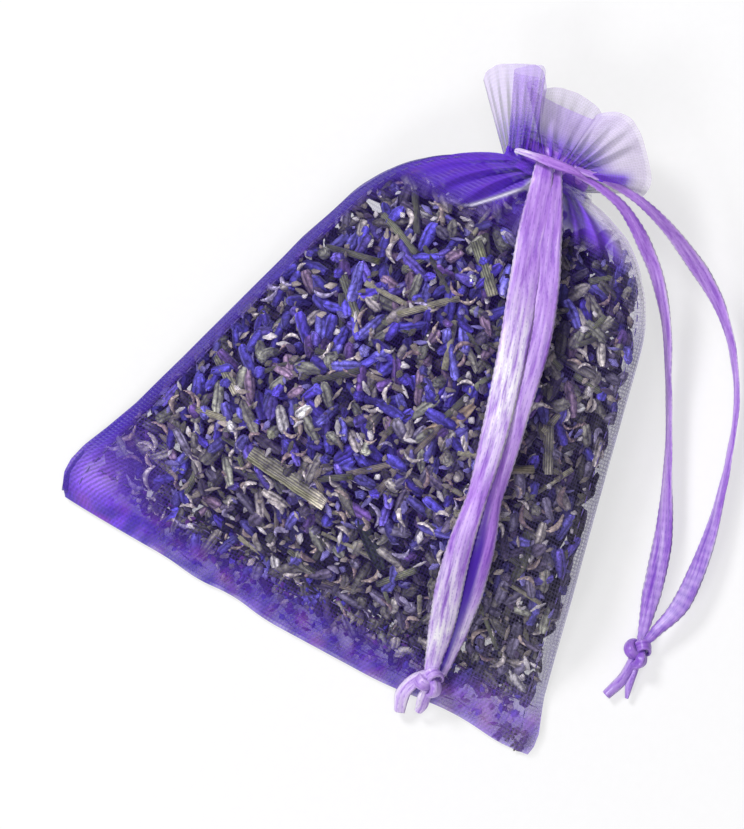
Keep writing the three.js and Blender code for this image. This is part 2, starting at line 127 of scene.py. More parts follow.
def addPiece(name, points, faces, material, uv=None, marks=None, smooth=True):
    # whole arrays into one mesh: points in bag millimetres and groups of faces; uv, and marks of one
    # number or a colour, are spread over all the points
    mesh = bpy.data.meshes.new(name)
    cells = sum((group.tolist() for group in faces), [])
    mesh.from_pydata(toFrame(np.reshape(points, (-1, 3))).tolist(), [], cells)
    mesh.polygons.foreach_set("use_smooth", np.full(len(mesh.polygons), smooth))
    corners = np.empty(len(mesh.loops), np.int32)
    mesh.loops.foreach_get("vertex_index", corners)
    grid = np.shape(points)[:-1]
    if uv is not None:
        places = np.broadcast_to(uv, (*grid, 2)).reshape(-1, 2)[corners]
        mesh.uv_layers.new(name="weave").data.foreach_set("uv", places.astype(np.float32).ravel())
    for label, values in (marks or {}).items():
        values = np.asarray(values, np.float32)
        if values.shape[-1:] == (4,):
            colours = mesh.attributes.new(label, "FLOAT_COLOR", "POINT").data
            colours.foreach_set("color", np.broadcast_to(values, (*grid, 4)).ravel())
        else:
            numbers = mesh.attributes.new(label, "FLOAT", "POINT").data
            numbers.foreach_set("value", np.broadcast_to(values, grid).ravel())
    mesh.materials.append(material)
    mesh.update()
    piece = bpy.data.objects.new(name, mesh)
    bpy.context.collection.objects.link(piece)
    return piece


def runOf(line):
    # length along a line up to each of its points
    return np.r_[0, np.cumsum(np.linalg.norm(np.diff(line, axis=0), axis=1))]


def pointsAt(steps, run, line):
    # places on a line at given lengths along it
    return np.stack([np.interp(steps, run, line[:, k]) for k in range(3)], -1)


def alongRoute(route, count):
    # smooth curve through the points: between two of them, the cubic whose end slopes are half the
    # gap between their neighbours; then even steps along its length
    p = np.asarray(route, float)
    p = np.vstack([2 * p[0] - p[1], p, 2 * p[-1] - p[-2]])
    s = np.linspace(0, len(p) - 3, 40 * len(p))
    i = np.minimum(s.astype(int), len(p) - 4)
    t = (s - i)[:, None]
    a, b, c, d = p[i], p[i + 1], p[i + 2], p[i + 3]
    fine = (2 * b + (c - a) * t + (2 * a - 5 * b + 4 * c - d) * t**2 + (3 * b - a - 3 * c + d) * t**3) / 2
    run = runOf(fine)
    steps = np.linspace(0, run[-1], count)
    return pointsAt(steps, run, fine), steps


def offsetLine(line, sideways, out, turn=0, centre=None):
    # points beside each step of a line, by amounts across it and out of its face; across starts level
    # and turns about the line by degrees, or the face looks away from a centre
    along = unit(np.gradient(line, axis=0))
    if centre is None:
        across = unit(np.cross([0, 0, 1], along))
        face = np.cross(along, across)
    else:
        outward = line - np.asarray(centre, float)
        face = unit(outward - along * np.sum(outward * along, -1, keepdims=True))
        across = np.cross(face, along)
    turn = np.radians(np.broadcast_to(turn, len(line)))[:, None]
    across, face = across * np.cos(turn) + face * np.sin(turn), face * np.cos(turn) - across * np.sin(turn)
    return line[:, None] + across[:, None] * sideways[..., None] + face[:, None] * out[..., None]


# camera straight above, turned so that the bag leans to the right as it lies
view = {"aim": (-3.26, 24.6), "height": 800, "lens": 307.8, "lean": 28.8, "sensor": 36}
cameraData = bpy.data.cameras.new("overhead")
cameraData.sensor_width = view["sensor"]
cameraData.lens = view["lens"]
camera = bpy.data.objects.new("overhead", cameraData)
bpy.context.collection.objects.link(camera)
camera.location = toFrame([*view["aim"], view["height"]])
camera.rotation_euler = (0, 0, math.radians(view["lean"]))
bpy.context.scene.camera = camera
bpy.context.scene.view_settings.view_transform = "Standard"


def linear(colour):
    # sRGB hex to linear light: c / 12.92 below 0.04045, else ((c + 0.055) / 1.055) to the power 2.4
    c = np.array([int(colour[k:k + 2], 16) for k in (1, 3, 5)]) / 255
    light = np.where(c <= 0.04045, c / 12.92, ((c + 0.055) / 1.055) ** 2.4)
    return (*light.tolist(), 1.0)


def addNode(tree, kind, settings=None, links=None):
    # one node with its settings, by property or socket, and its links, by socket: each from a node's
    # first output, or from the output named beside the node
    node = tree.nodes.new("ShaderNode" + kind)
    for key, value in (settings or {}).items():
        if isinstance(key, str) and hasattr(node, key):
            setattr(node, key, value)
        else:
            node.inputs[key].default_value = value
    for key, source in (links or {}).items():
        giver, output = source if isinstance(source, tuple) else (source, 0)
        tree.links.new(giver.outputs[output], node.inputs[key])
    return node


def newMaterial(name):
    # an empty material, and addNode for its tree
    material = bpy.data.materials.new(name)
    material.use_nodes = True
    material.node_tree.nodes.clear()
    return material, functools.partial(addNode, material.node_tree)


def setRamp(node, stops):
    # colour stops, given as place and sRGB hex
    ramp = node.color_ramp
    while len(ramp.elements) < len(stops):
        ramp.elements.new(0.5)
    for element, (place, colour) in zip(ramp.elements, stops):
        element.position = place
        element.color = linear(colour)


oneBand = 0.314  # wave texture scale for one band to the unit: a full turn over its 20 radians
levels = ("From Min", "From Max", "To Min", "To Max")  # what comes in and what goes out of a map range
larger, times = {"operation": "MAXIMUM"}, {"operation": "MULTIPLY"}
scaled, clamped = {"operation": "SCALE"}, {"operation": "MULTIPLY", "use_clamp": True}

# Organza: crisp sheer plain weave of fine nylon. It shows as a net of bright violet threads over what
# is behind it, and as solid violet where layers lie on each other. The mark named layers is how much
# of the view the cloth covers, and tint its own colour there.
# The real thread spacing is about 0.2 mm, drawn at 0.42 mm so that the net shows;
# where layers cross, at the mark named lines, it gives slanting bands about 0.45 mm apart, painted lighter
# and darker in its colour as sheen.
organzaLook = {
    "threadSpacing": 0.42, "bandSpacing": 0.45, "bandSlant": 0.5, "russet": "#7a3f9c", "sheen": "#d8ccff"}
# the pale crease colour is a painted highlight on the crest of the shoulder fold
clothTints = {
    "violet": "#5f36cc", "deep": "#3d1aa6", "bright": "#7a36f0", "pale": "#f0e4ff", "grey": "#9a93b4",
    "creaseAndHighlight": "#efeaff", "lilac": "#ae7ef6", "plum": "#7d2fb4", "rose": "#b884d0"}


def makeOrganza(name, look):
    material, add = newMaterial(name)
    uv = add("UVMap", {"uv_map": "weave"})
    thread = {"Scale": oneBand / look["threadSpacing"], "Distortion": 0.6, "Detail": 1.0}
    warp, weft = (add("TexWave", {"bands_direction": way, **thread}, {"Vector": uv}) for way in "XY")
    threads = add("Math", larger, {0: (warp, "Fac"), 1: (weft, "Fac")})
    # one sheer layer is mostly gaps between threads, and many layers leave none
    layers = (add("Attribute", {"attribute_name": "layers"}), "Fac")
    least = add("MapRange", dict(zip(levels, (0.08, 0.3, 0.1, 0.88))), {"Value": layers})
    most = add("MapRange", dict(zip(levels, (0.08, 0.3, 2.7, 1.08))), {"Value": layers})
    net = add("MapRange", {"From Min": 0.35}, {"Value": threads, "To Min": least, "To Max": most})
    cover = add("Math", clamped, {0: layers, 1: net})
    tint = add("Attribute", {"attribute_name": "tint"})
    blotch = add("TexNoise", {"Scale": 0.4, "Detail": 4.0, "Roughness": 0.6}, {"Vector": uv})
    warm = add("MapRange", dict(zip(levels, (0.55, 0.75, 0.0, 0.4))), {"Value": (blotch, "Fac")})
    mottled = add("MixRGB", {"Color2": linear(look["russet"])}, {"Fac": warm, "Color1": tint})
    slant = add("Mapping", {"Rotation": (0, 0, look["bandSlant"])}, {"Vector": uv})
    band = {"Scale": oneBand / look["bandSpacing"], "Distortion": 5.0, "Detail": 2.0, "Detail Scale": 0.4}
    bands = add("TexWave", {"bands_direction": "X", **band}, {"Vector": slant})
    # painted sheen: the bands lighten and darken the cloth's colour, most at the lower left corner where
    # light catches it
    lines = (add("Attribute", {"attribute_name": "lines"}), "Fac")
    darkest = add("MapRange", {"To Min": 0.95, "To Max": 0.78}, {"Value": lines})
    brightest = add("MapRange", {"To Min": 1.06, "To Max": 1.7}, {"Value": lines})
    gleam = add("MapRange", {}, {"Value": (bands, "Fac"), "To Min": darkest, "To Max": brightest})
    colour = add("VectorMath", scaled, {"Vector": mottled, "Scale": gleam})
    # light comes through the cloth from behind too, so its shade changes little with its slope
    slope = add("VectorMath", {**scaled, "Scale": 0.4}, {"Vector": (add("NewGeometry"), "Normal")})
    raised = add("VectorMath", {"operation": "ADD", 1: (0, 0, 0.6)}, {0: slope})
    facing = add("VectorMath", {"operation": "NORMALIZE"}, {0: raised})
    bump = add("Bump", {"Strength": 0.4, "Distance": 0.00008}, {"Height": threads, "Normal": facing})
    finish = {"Roughness": 0.45, "Specular IOR Level": 0.35, "Sheen Weight": 0.1,
              "Sheen Tint": linear(look["sheen"])}
    cloth = add("BsdfPrincipled", finish, {"Base Color": colour, "Alpha": cover, "Normal": bump})
    add("OutputMaterial", {}, {"Surface": cloth})
    return material


def tintMark(base, *washes):
    # one colour all over, then each wash laid over it by its own share at every point
    colour = np.array(linear(clothTints[base]))
    for name, amount in washes:
        wash = np.array(linear(clothTints[name]))
        colour = blendTo(colour, wash, np.asarray(np.clip(amount, 0, 1))[..., None])
    return colour


# Satin ribbon: woven polyester with long floats, glossy along its length. Its lustre is also painted into the
# colour: fine pale and deep streaks, and broad crumpled streaks painted darker as shade and paler as
# highlight, with rows of short dark dashes where the floats dip, and a tiny looped edge. One mark is a
# painted highlight where it catches the light, and the other is painted shade where it lies under another
# ribbon, on its crinkled far end and on knots and cut ends.
# The floats are about 0.1 mm apart, drawn at about 0.24 mm so that they show.
# the deepest and palest float colours are painted shade and highlight, and the near-white and deep violet
# laid over them are painted highlight and painted shade
satinLook = {
    "floatWidth": 0.24, "floatLength": 3.0, "rowSpacing": 0.46, "shade": "#8040c4", "body": "#a96fde",
    "light": "#be8aee", "glint": "#dec0f8", "gleam": "#fbf6ff", "dash": "#5a2fae", "lap": "#4a17b0",
    "sheen": "#f0e4ff"}


def makeSatin(name, look):
    material, add = newMaterial(name)
    uv = add("UVMap", {"uv_map": "weave"})
    along = (0.5 / look["floatWidth"], 0.5 / look["floatLength"], 1)
    stretch = add("Mapping", {"Scale": along}, {"Vector": uv})
    floats = add("TexNoise", {"Scale": 1.0, "Detail": 3.0, "Roughness": 0.6}, {"Vector": stretch})
    tone = add("ValToRGB", {}, {"Fac": (floats, "Fac")})
    setRamp(tone, [(0.3, look["shade"]), (0.45, look["body"]), (0.58, look["light"]), (0.74, look["glint"])])
    # painted crumples: broad streaks made darker as shade everywhere, and paler as highlight where the
    # ribbon's highlight mark allows
    wide = add("Mapping", {"Scale": (1.5, 0.16, 1)}, {"Vector": uv})
    creases = (add("TexNoise", {"Scale": 1.0, "Detail": 4.0, "Roughness": 0.65}, {"Vector": wide}), "Fac")
    creaseShade = add("MapRange", dict(zip(levels, (0.47, 0.3, 0.0, 0.75))), {"Value": creases})
    bright = add("MapRange", dict(zip(levels, (0.36, 0.62, 0.1, 1.7))), {"Value": creases})
    gleam = add("Attribute", {"attribute_name": "gleam"})
    shine = add("Math", clamped, {0: (gleam, "Fac"), 1: bright})
    row = {"Scale": oneBand / look["rowSpacing"], "Distortion": 1.0, "Detail": 1.0, "Detail Scale": 0.4}
    rows = add("TexWave", {"bands_direction": "X", **row}, {"Vector": uv})
    dips = add("MapRange", dict(zip(levels, (0.3, 0.05, 0.0, 1.0))), {"Value": (rows, "Fac")})
    dashes = add("Mapping", {"Scale": (0.8, 0.9, 1)}, {"Vector": uv})
    breaks = add("TexNoise", {"Scale": 2.4, "Detail": 1.0}, {"Vector": dashes})
    kept = add("MapRange", dict(zip(levels, (0.46, 0.58, 0.0, 0.34))), {"Value": (breaks, "Fac")})
    marks = add("Math", times, {0: dips, 1: kept})
    lap = (add("Attribute", {"attribute_name": "lap"}), "Fac")
    colour = tone
    for key, amount in (("shade", creaseShade), ("gleam", shine), ("dash", marks), ("lap", lap)):
        colour = add("MixRGB", {"Color2": linear(look[key])}, {"Fac": amount, "Color1": colour})
    bump = add("Bump", {"Strength": 0.5, "Distance": 0.0001}, {"Height": (floats, "Fac")})
    tangent = add("Tangent", {"direction_type": "UV_MAP", "uv_map": "weave"})
    finish = {"Roughness": 0.36, "Anisotropic": 0.6, "Sheen Weight": 0.2, "Sheen Tint": linear(look["sheen"])}
    satin = add("BsdfPrincipled", {**finish, "Specular IOR Level": 0.6},
                {"Base Color": colour, "Normal": bump, "Tangent": tangent})
    add("OutputMaterial", {}, {"Surface": satin})
    return material


# Dried plant matter: papery, ribbed and dusty, with no gloss. Each bit has its own colour in the mark
# named hue, and grooves run along it, painted darker as shade.
def makeDried(name, grooves, grain):
    material, add = newMaterial(name)
    hue = add("Attribute", {"attribute_name": "hue"})
    uv = add("UVMap", {"uv_map": "weave"})
    rib = {"Scale": oneBand * grooves, "Distortion": 1.2, "Detail": 2.0}
    ribs = add("TexWave", {"bands_direction": "X", **rib}, {"Vector": uv})
    spot = (add("TexCoord"), "Object")
    speck = {"Scale": 1 / (grain * mm), "Detail": 3.0, "Roughness": 0.65}
    fleck = add("TexNoise", speck, {"Vector": spot})
    # painted shade: the colour is darker in the grooves between the ribs
    dark = add("MapRange", dict(zip(levels, (0.0, 1.0, 0.4, 1.2))), {"Value": (ribs, "Fac")})
    light = add("MapRange", dict(zip(levels, (0.3, 0.72, 0.25, 1.9))), {"Value": (fleck, "Fac")})
    both = add("Math", times, {0: dark, 1: light})
    colour = add("VectorMath", scaled, {"Vector": hue, "Scale": both})
    bump = add("Bump", {"Strength": 0.6, "Distance": 0.00015}, {"Height": both})
    finish = {"Roughness": 0.72, "Sheen Weight": 0.15, "Specular IOR Level": 0.3}
    matter = add("BsdfPrincipled", finish, {"Base Color": colour, "Normal": bump})
    add("OutputMaterial", {}, {"Surface": matter})
    return material


# Sewing thread: two plies of polyester, which give slanting lines and a slight gloss.
threadLook = {"plySpacing": 0.25, "dark": "#453480", "light": "#6f5cae"}


def makeThread(name, look):
    material, add = newMaterial(name)
    uv = add("UVMap", {"uv_map": "weave"})
    ply = {"bands_direction": "DIAGONAL", "Scale": oneBand / look["plySpacing"]}
    plies = (add("TexWave", ply, {"Vector": uv}), "Fac")
    tone = add("MixRGB", {"Color1": linear(look["dark"]), "Color2": linear(look["light"])}, {"Fac": plies})
    bump = add("Bump", {"Strength": 0.4, "Distance": 0.00005}, {"Height": plies})
    finish = {"Roughness": 0.5, "Sheen Weight": 0.2}
    thread = add("BsdfPrincipled", finish, {"Base Color": tone, "Normal": bump})
    add("OutputMaterial", {}, {"Surface": thread})
    return material


organza = makeOrganza("sheer_organza", organzaLook)
satin = makeSatin("satin_ribbon", satinLook)
driedBud = makeDried("dried_lavender_buds", grooves=1.0, grain=0.6)
driedStalk = makeDried("dried_stalk", grooves=3.0, grain=1.4)
driedLeaf = makeDried("dried_leaf", grooves=1.6, grain=1.1)
sewingThread = makeThread("polyester_thread", threadLook)
print("materials made:", len(bpy.data.materials))


# the two drawstrings: each one is a narrow satin ribbon with both ends out of the neck, knotted
ribbon = {
    "width": 3.2, "thickness": 0.24, "picot": 0.08, "picotSpacing": 0.85, "steps": 230, "crumpleWave": 5.5}


def bandSurface(line, steps, width, cup, crumple, seed, columns=13, thickness=ribbon["thickness"], **facing):
    # flat ribbon: at each step a strip from edge to edge, bowed by cup, waved by crumple, with a top
    # and an underside that close at its rounded edges
    s = np.r_[np.linspace(1, -1, columns), np.linspace(-1, 1, columns)[1:-1]][None, :]
    side = np.r_[np.ones(columns), -np.ones(columns - 2)]
    half, bow, wave = (np.broadcast_to(size, len(line))[:, None] for size in (width / 2, cup, crumple))
    along = steps[:, None] + 0 * s
    lift = bow * (1 - s**2) + wave * ripples(4.5 * half * s, along, ribbon["crumpleWave"], seed)
    lift = lift + side * thickness / 2 * np.sqrt(np.clip(1 - s**6, 0, 1))
    points = offsetLine(line, half * s, lift, **facing)
    return points, np.stack([half * s, along], -1), tubeFaces(len(line), s.size)


def addRibbon(name, marks, *band, **form):
    points, uv, faces = bandSurface(*band, **form)
    return addPiece("ribbon_" + name, points, faces, satin, uv, marks)


frontLeftRoute = [
    [0.1, 58.3, 12.9], [0.35, 57.5, 13.7], [0.9, 56, 14.3], [1.95, 53, 14], [2.9, 50, 13.8],
    [3.9, 47.2, 14.35], [4.85, 44.5, 15.15], [5.8, 41.8, 16.1], [6.75, 39, 16.95], [8.4, 33.5, 18.15],
    [9.9, 28, 18.65], [11.2, 22.5, 17.95], [12.1, 17.5, 16.1], [13.2, 13, 13.2], [14.5, 9, 9.4],
    [15.5, 5.8, 5.8], [16.2, 3.4, 3.9], [16.6, 2.2, 3.5]]
frontRightRoute = [
    [1.3, 58.4, 12.7], [1.6, 57.5, 13.4], [2.2, 56.1, 14.15], [3.5, 53.2, 13.87], [4.8, 50.3, 13.67],
    [6.1, 47.5, 14.2], [7.2, 44.8, 15], [8.2, 42, 15.83], [9, 39.3, 16.55], [10.2, 33.8, 17.6],
    [11.6, 28.2, 17.85], [13, 22.7, 17.05], [14.6, 17.7, 15.05], [15.6, 13.2, 11.9], [16.3, 9.1, 7.9],
    [16.9, 5.9, 4.4], [17.3, 3.6, 3.1], [17.2, 2.2, 3.1]]
sideInnerRoute = [
    [3.4, 58.9, 13.8], [6.5, 58.9, 12.9], [9.6, 58.4, 11.85], [12.2, 57.2, 10.45], [14.6, 55.6, 8.9],
    [17.2, 53.5, 7.15], [19.6, 50.9, 5.5], [21.9, 47.8, 4.1], [23.9, 44.4, 3], [26.2, 40.5, 2.35],
    [28.3, 36.5, 2], [30.3, 32.4, 1.85], [32.1, 28.4, 1.75], [33.2, 25.1, 1.6], [34.1, 22, 1.45],
    [35.2, 18.2, 1.5], [35.7, 16.2, 1.7]]
sideOuterRoute = [
    [3.2, 59.3, 14.0], [6.3, 59.8, 13.7], [9.4, 59.9, 13.1], [12.2, 59.6, 12.1], [15.6, 58.7, 10.2],
    [18.9, 57.4, 8.1], [21.9, 56, 6.25], [24.7, 54.3, 4.7], [27.3, 52.1, 3.6], [29.5, 49.6, 2.7],
    [31.4, 46.8, 2.25], [32.9, 43.8, 2], [35.1, 37.3, 1.9], [36.8, 30.2, 2], [37.5, 23, 2.35],
    [36.5, 18.6, 2.35], [35.9, 16.3, 2.1]]
# at even places along a tail: width as a share of the ribbon's, turn in degrees, bow in mm, and painted
# highlight, strong where it lies flat to the light. Then crumple in mm, how deep a violet is painted as shade
# on the edge that lies under the other tail, and how much painted shade crinkles the far end
sideCups = [0.05, 0.05, 0.06, 0.08, 0.1, 0.12, 0.15, 0.2, 0.2, 0.2, 0.2]
tails = {
    "front_tail_left": (
        frontLeftRoute, [0.6, 1, 1.06, 1.06, 1.02, 0.92, 0.74, 0.9, 1, 0.9, 0.5],
        [0, -4, -6, -6, -4, 4, 18, 6, 0, 4, 0], [0.1, 0.1, 0.1, 0.12, 0.16, 0.25, 0.35, 0.35, 0.3, 0.3, 0.3],
        [0.05, 0.08, 0.12, 0.45, 0.8, 0.5, 0.05, 0.25, 0.5, 0.7, 0.4], 0.06, 0, 0, 3),
    "front_tail_right": (
        frontRightRoute, [0.55, 0.95, 1.06, 1.06, 1.02, 0.92, 0.72, 0.85, 1, 0.95, 0.5],
        [0, 0, 0, 0, 0, -12, -26, -8, 0, -6, 0], [0.06, 0.06, 0.08, 0.1, 0.14, 0.22, 0.3, 0.3, 0.3, 0.3, 0.3],
        [0.05, 0.1, 0.12, 0.15, 0.25, 0.15, 0.0, 0.0, 0.25, 0.65, 0.4], 0.06, 1, 0, 4),
    "side_tail_inner": (
        sideInnerRoute, [0.2, 0.34, 0.52, 0.56, 0.6, 0.62, 0.66, 0.75, 0.82, 0.7, 0.25],
        [0, 5, 10, 38, 62, 74, 74, 62, 35, 12, 0], sideCups,
        [0.0, 0.0, 0.05, 0.1, 0.1, 0.1, 0.1, 0.15, 0.2, 0.2, 0.1], 0.05, 0, 0.4, 5),
    "side_tail_outer": (
        sideOuterRoute, [0.2, 0.3, 0.45, 0.62, 0.64, 0.62, 0.66, 0.75, 0.82, 0.7, 0.25],
        [0, 5, 5, 20, 60, 74, 78, 72, 52, 22, 0], sideCups,
        [0.15, 0.05, 0.1, 0.1, 0.05, 0.05, 0.05, 0.1, 0.2, 0.2, 0.1], 0.05, 0, 0.5, 6),
}
tailPieces, tailPaths = {}, {}
for name, (route, widths, turns, cups, gleams, crumple, under, crinkleShading, seed) in tails.items():
    line, steps = alongRoute(route, ribbon["steps"])
    t = steps / steps[-1]
    picot = ribbon["picot"] * np.cos(fullTurn * steps / ribbon["picotSpacing"])
    width = ribbon["width"] * evenly(widths, t) + picot
    points, uv, faces = bandSurface(line, steps, width, evenly(cups, t), crumple, seed, turn=evenly(turns, t))
    place = uv[..., 0] / (width[:, None] / 2)
    # painted highlight along the tail, fading towards its edges, with the looped edges painted bright
    gleam = evenly(gleams, t)[:, None] * (1 - 0.6 * np.abs(place) ** 3) + 0.5 * np.abs(place) ** 12
    # painted shade: a deep violet strip along the edge that lies under the other tail, and crosswise bands on
    # the crinkled far end
    strip = easeIn(blendTo(0.1, 0.55, share(t, 0.62, 0.8))[:, None] - place, 0, 0.5)
    strip = strip * share(t, 0.52, 0.68)[:, None]
    crinkleShade = easeIn(t, 0.6, 0.88) * (0.7 + 0.3 * np.cos(fullTurn * steps / 1.1))
    marks = {"gleam": np.clip(gleam, 0, 1), "lap": under * strip + crinkleShading * crinkleShade[:, None]}
    tailPieces[name] = addPiece("ribbon_" + name, points, faces, satin, uv, marks)
    tailPaths[name] = toFrame(line)

# each knot is the ribbon pulled into an overhand: a trefoil path with the band's face outwards
knots = {  # centre, size on each axis, turn in degrees, shade, seed
    "front_knot": ((16.9, 1.4, 3.5), (0.42, 0.46, 0.62), 40, 0.05, 21),
    "side_knot": ((35.9, 15.6, 1.8), (0.4, 0.47, 0.55), 20, 0.3, 22),
}
knotPieces = {}
for name, (centre, size, turn, lap, seed) in knots.items():
    t = np.linspace(0.15, fullTurn - 0.15, 150)
    loop = [np.sin(t) + 2 * np.sin(2 * t), np.cos(t) - 2 * np.cos(2 * t), -1.3 * np.sin(3 * t)]
    c, s = math.cos(math.radians(turn)), math.sin(math.radians(turn))
    line = np.asarray(centre) + np.stack(loop, -1) * size @ np.array([[c, s, 0], [-s, c, 0], [0, 0, 1]])
    # each knot gets painted highlight and painted shade; the side knot is painted darker
    knotPieces[name] = addRibbon(
        name, {"gleam": 0.35 - lap, "lap": lap}, line, runOf(line), width=1.5, cup=0.22, crumple=0.2,
        seed=seed, columns=11, thickness=0.42, centre=np.asarray(centre) - [0, 0, 0.6])

# the cut ends beyond the knots: route, widths as shares of a crumpled ribbon's, turn, painted highlight,
# painted shade, seed
endWidth = 1.9
ends = {
    "front_end_left": ([[16.2, 2.0, 3.9], [15.3, 0.7, 3.4], [14.9, -1.2, 2.5], [15.5, -3.2, 1.4]],
                       [0.7, 0.95, 1.0, 0.75], 25, 0.45, 0, 31),
    "front_end_right": ([[17.0, 0.9, 3.6], [17.2, -0.6, 2.9], [17.4, -1.4, 2.2], [17.4, -2.1, 1.5]],
                        [0.6, 0.85, 0.8, 0.5], -20, 0.45, 0, 32),
    "side_end_left": ([[35.8, 15.0, 1.9], [35.9, 13.5, 1.5], [35.8, 11.9, 1.1], [35.1, 9.6, 0.8]],
                      [0.6, 0.65, 0.7, 0.6], 15, 0.2, 0.25, 33),
    "side_end_right": ([[36.3, 14.8, 1.8], [36.5, 13.4, 1.3], [36.8, 11.9, 1.0], [37.3, 10.4, 0.7]],
                       [0.5, 0.6, 0.5, 0.2], -20, 0.2, 0.25, 34),
}
endPieces = {}
for name, (route, widths, turn, gleam, lap, seed) in ends.items():
    line, steps = alongRoute(route, 46)
    width = endWidth * evenly(widths, steps / steps[-1])
    endPieces[name] = addRibbon(name, {"gleam": gleam, "lap": lap}, line, steps, width,
                                cup=0.3, crumple=0.14, seed=seed, columns=11, turn=turn)

# the strand that goes round the neck, and the doubled ribbon under it: route, widths, what it faces away from
strands = {
    "side_ribbon_strand": (
        [[-3.0, 57.9, 12.0], [-3.3, 58.0, 13.2], [-2.6, 58.15, 14.25], [-1.0, 58.4, 14.65],
         [0.8, 58.65, 14.75], [2.2, 58.85, 14.65], [3.3, 59.0, 14.35], [4.3, 59.0, 13.85],
         [5.3, 58.95, 13.2]],
        [0.18, 0.2, 0.22, 0.26, 0.34, 0.36, 0.3, 0.18, 0.05], (1.4, 59, 6), 41),
    "front_ribbon_exit": (
        [[0.3, 58.9, 11.4], [0.4, 58.6, 12.6], [0.7, 58, 13.2], [1.1, 57, 13.4]],
        [0.5, 0.5, 0.5, 0.4], None, 42),
}
strandPieces = {}
for name, (route, widths, centre, seed) in strands.items():
    line, steps = alongRoute(route, 80)
    width = ribbon["width"] * evenly(widths, steps / steps[-1])
    # painted highlight on the first few millimetres of each strand, fading out by 5 mm
    marks = {"gleam": 0.85 * (1 - share(steps, 2, 5))[:, None]}
    strandPieces[name] = addRibbon(name, marks, line, steps, width, cup=0.1, crumple=0.12, seed=seed,
                                   centre=centre)
print("ribbons made")


# the bag: two sheets of organza sewn at the sides and the bottom, full in the middle, drawn in at the neck
bag = {
    "width": 60, "shoulderWidth": 38.2, "shoulderLine": 44, "neckWidth": 7.4, "neckLine": 57.2,
    "neckLean": 1.4, "hemTop": 1.9, "seamHalf": 0.95, "sideSeam": 6.8, "neckHeight": 8.4, "crown": 18,
    "neckTop": 10.8, "neckUnder": 6, "clothTop": 58.2, "dome": 2.6, "budLump": 0.3, "pleats": 9,
    "pleatDepth": 0.8, "gatherFrom": 39}
# the bottom edge wanders: place across, and how far it stands out
hemPoints = ([-31, -15, -12, -7, -3, 12, 15, 20, 24, 27, 31],
             [-0.4, -0.65, -1.2, -0.8, -1.5, -1.4, -1.1, -0.5, -0.6, -1.2, -1.1])
hemAcross = np.linspace(-31, 31, 249)
hemWander = (hemAcross, soften(np.interp(hemAcross, *hemPoints)))
# how far each side edge stands in from the straight taper: height, left, right
edgeDraw = ([0, 1, 2.2, 4, 6, 9, 13, 20, 38, 45, 47.3, 49.5, 52.1, 54.2, 55.5, 56.8, 58.2],
            [0.9, 0.0, -0.5, -1.0, -1.0, -0.5, 0, 0.2, 0.3, 0.7, 1.0, 1.1, 0.95, 0.25, -0.75, -1.85, -2.2],
            [-0.6, -0.8, -0.6, -0.3, 0, 0, 0, 0, 0, 0, 0, 0, -0.4, -1.6, -2.5, -2.4, 0.2])


def halfWidth(v):
    # straight taper from the bottom to the shoulders, then a fourth-power pull into the neck
    rise = np.maximum(0, (v - 2.5) / (bag["shoulderLine"] - 2.5))
    taper = blendTo(bag["width"], bag["shoulderWidth"], rise)
    return blendTo(taper, bag["neckWidth"], share(v, 42, bag["neckLine"]) ** 4) / 2


def middle(v):
    # the neck leans a little to one side
    return bag["neckLean"] * share(v, 0, bag["neckLine"]) ** 1.6


def sideShare(x, v):
    # place across as a share of the half width, from -1 to 1
    return (x - middle(v)) / halfWidth(v)


def edgeIn(v):
    # how far the left and the right edge stand in at a height
    return [np.interp(v, edgeDraw[0], row) for row in edgeDraw[1:]]


def seamHeight(v):
    # the side seams rise from the hem to the fat part and on to the neck
    low = blendTo(bag["seamHalf"], bag["sideSeam"], easeIn(v, 5, 20))
    return blendTo(low, bag["neckHeight"], easeIn(v, 20, bag["neckLine"]))


def frontSurface(q, v):
    # crown in the middle, falling to the seam by the dome's power of the distance across
    rise = blendTo(bag["hemTop"], bag["crown"], 1 - (1 - share(v, 5, 25)) ** 2.2)
    top = blendTo(rise, bag["neckTop"], easeIn(v, 28, bag["neckLine"]))
    return blendTo(seamHeight(v) + bag["seamHalf"], top, 1 - np.abs(q) ** bag["dome"])


def backSurface(q, v):
    # flat on the table in the middle, curling up to the seam
    under = blendTo(0, bag["neckUnder"], easeIn(v, 42, bag["neckLine"]))
    flat = np.minimum(1, 1.3 * (1 - np.abs(q) ** bag["dome"]))
    return blendTo(seamHeight(v) - bag["seamHalf"], under, flat)


def seamPinch(q, v):
    # how far the two cloths are drawn together: wholly at the side seams and along the bottom edge
    return np.maximum(easeIn(np.abs(q), 0.95, 1) * share(v, 57, 54), 1 - easeIn(v, 0, 1.5))


def seamLine(v):
    # where the two cloths meet, which starts close to the table
    return blendTo(0.5, seamHeight(v), easeIn(v, 0, 3))


def hemShift(x, v):
    # how far the wandering bottom edge moves the cloth along, which dies out up the bag
    return np.interp(x, *hemWander) * (1 - share(v, 0, 7))


def clothPlace(q, v):
    # across and up at each share of the width: the edges drawn in or let out, the bottom edge wandering
    x = middle(v) + (halfWidth(v) - np.where(q < 0, *edgeIn(v)) * np.abs(q) ** 4) * q
    return x, v + hemShift(x, v) * (1 - 0.5 * np.abs(q) ** 8)


def addSheet(name, x, y, z, uv, marks, under=False):
    # one layer of organza over a grid; the faces of an under layer look down
    cells = gridFaces(*x.shape)
    faces = [cells[:, ::-1] if under else cells]
    return addPiece("organza_" + name, np.stack([x, y, z], -1), faces, organza, uv, marks)


# inner edge of the fold that lies along the left shoulder: height, then place across
shoulderFold = ([36, 40.6, 45.5, 48.1, 49.2, 50.2, 52.5, 54.9, 60],
                [-20.4, -17.6, -14.7, -11.3, -6.9, -4.9, -2.7, -0.4, 1])
q, v = np.meshgrid(np.linspace(-1, 1, 181), np.linspace(0, bag["clothTop"], 171))
x, y = clothPlace(q, v)
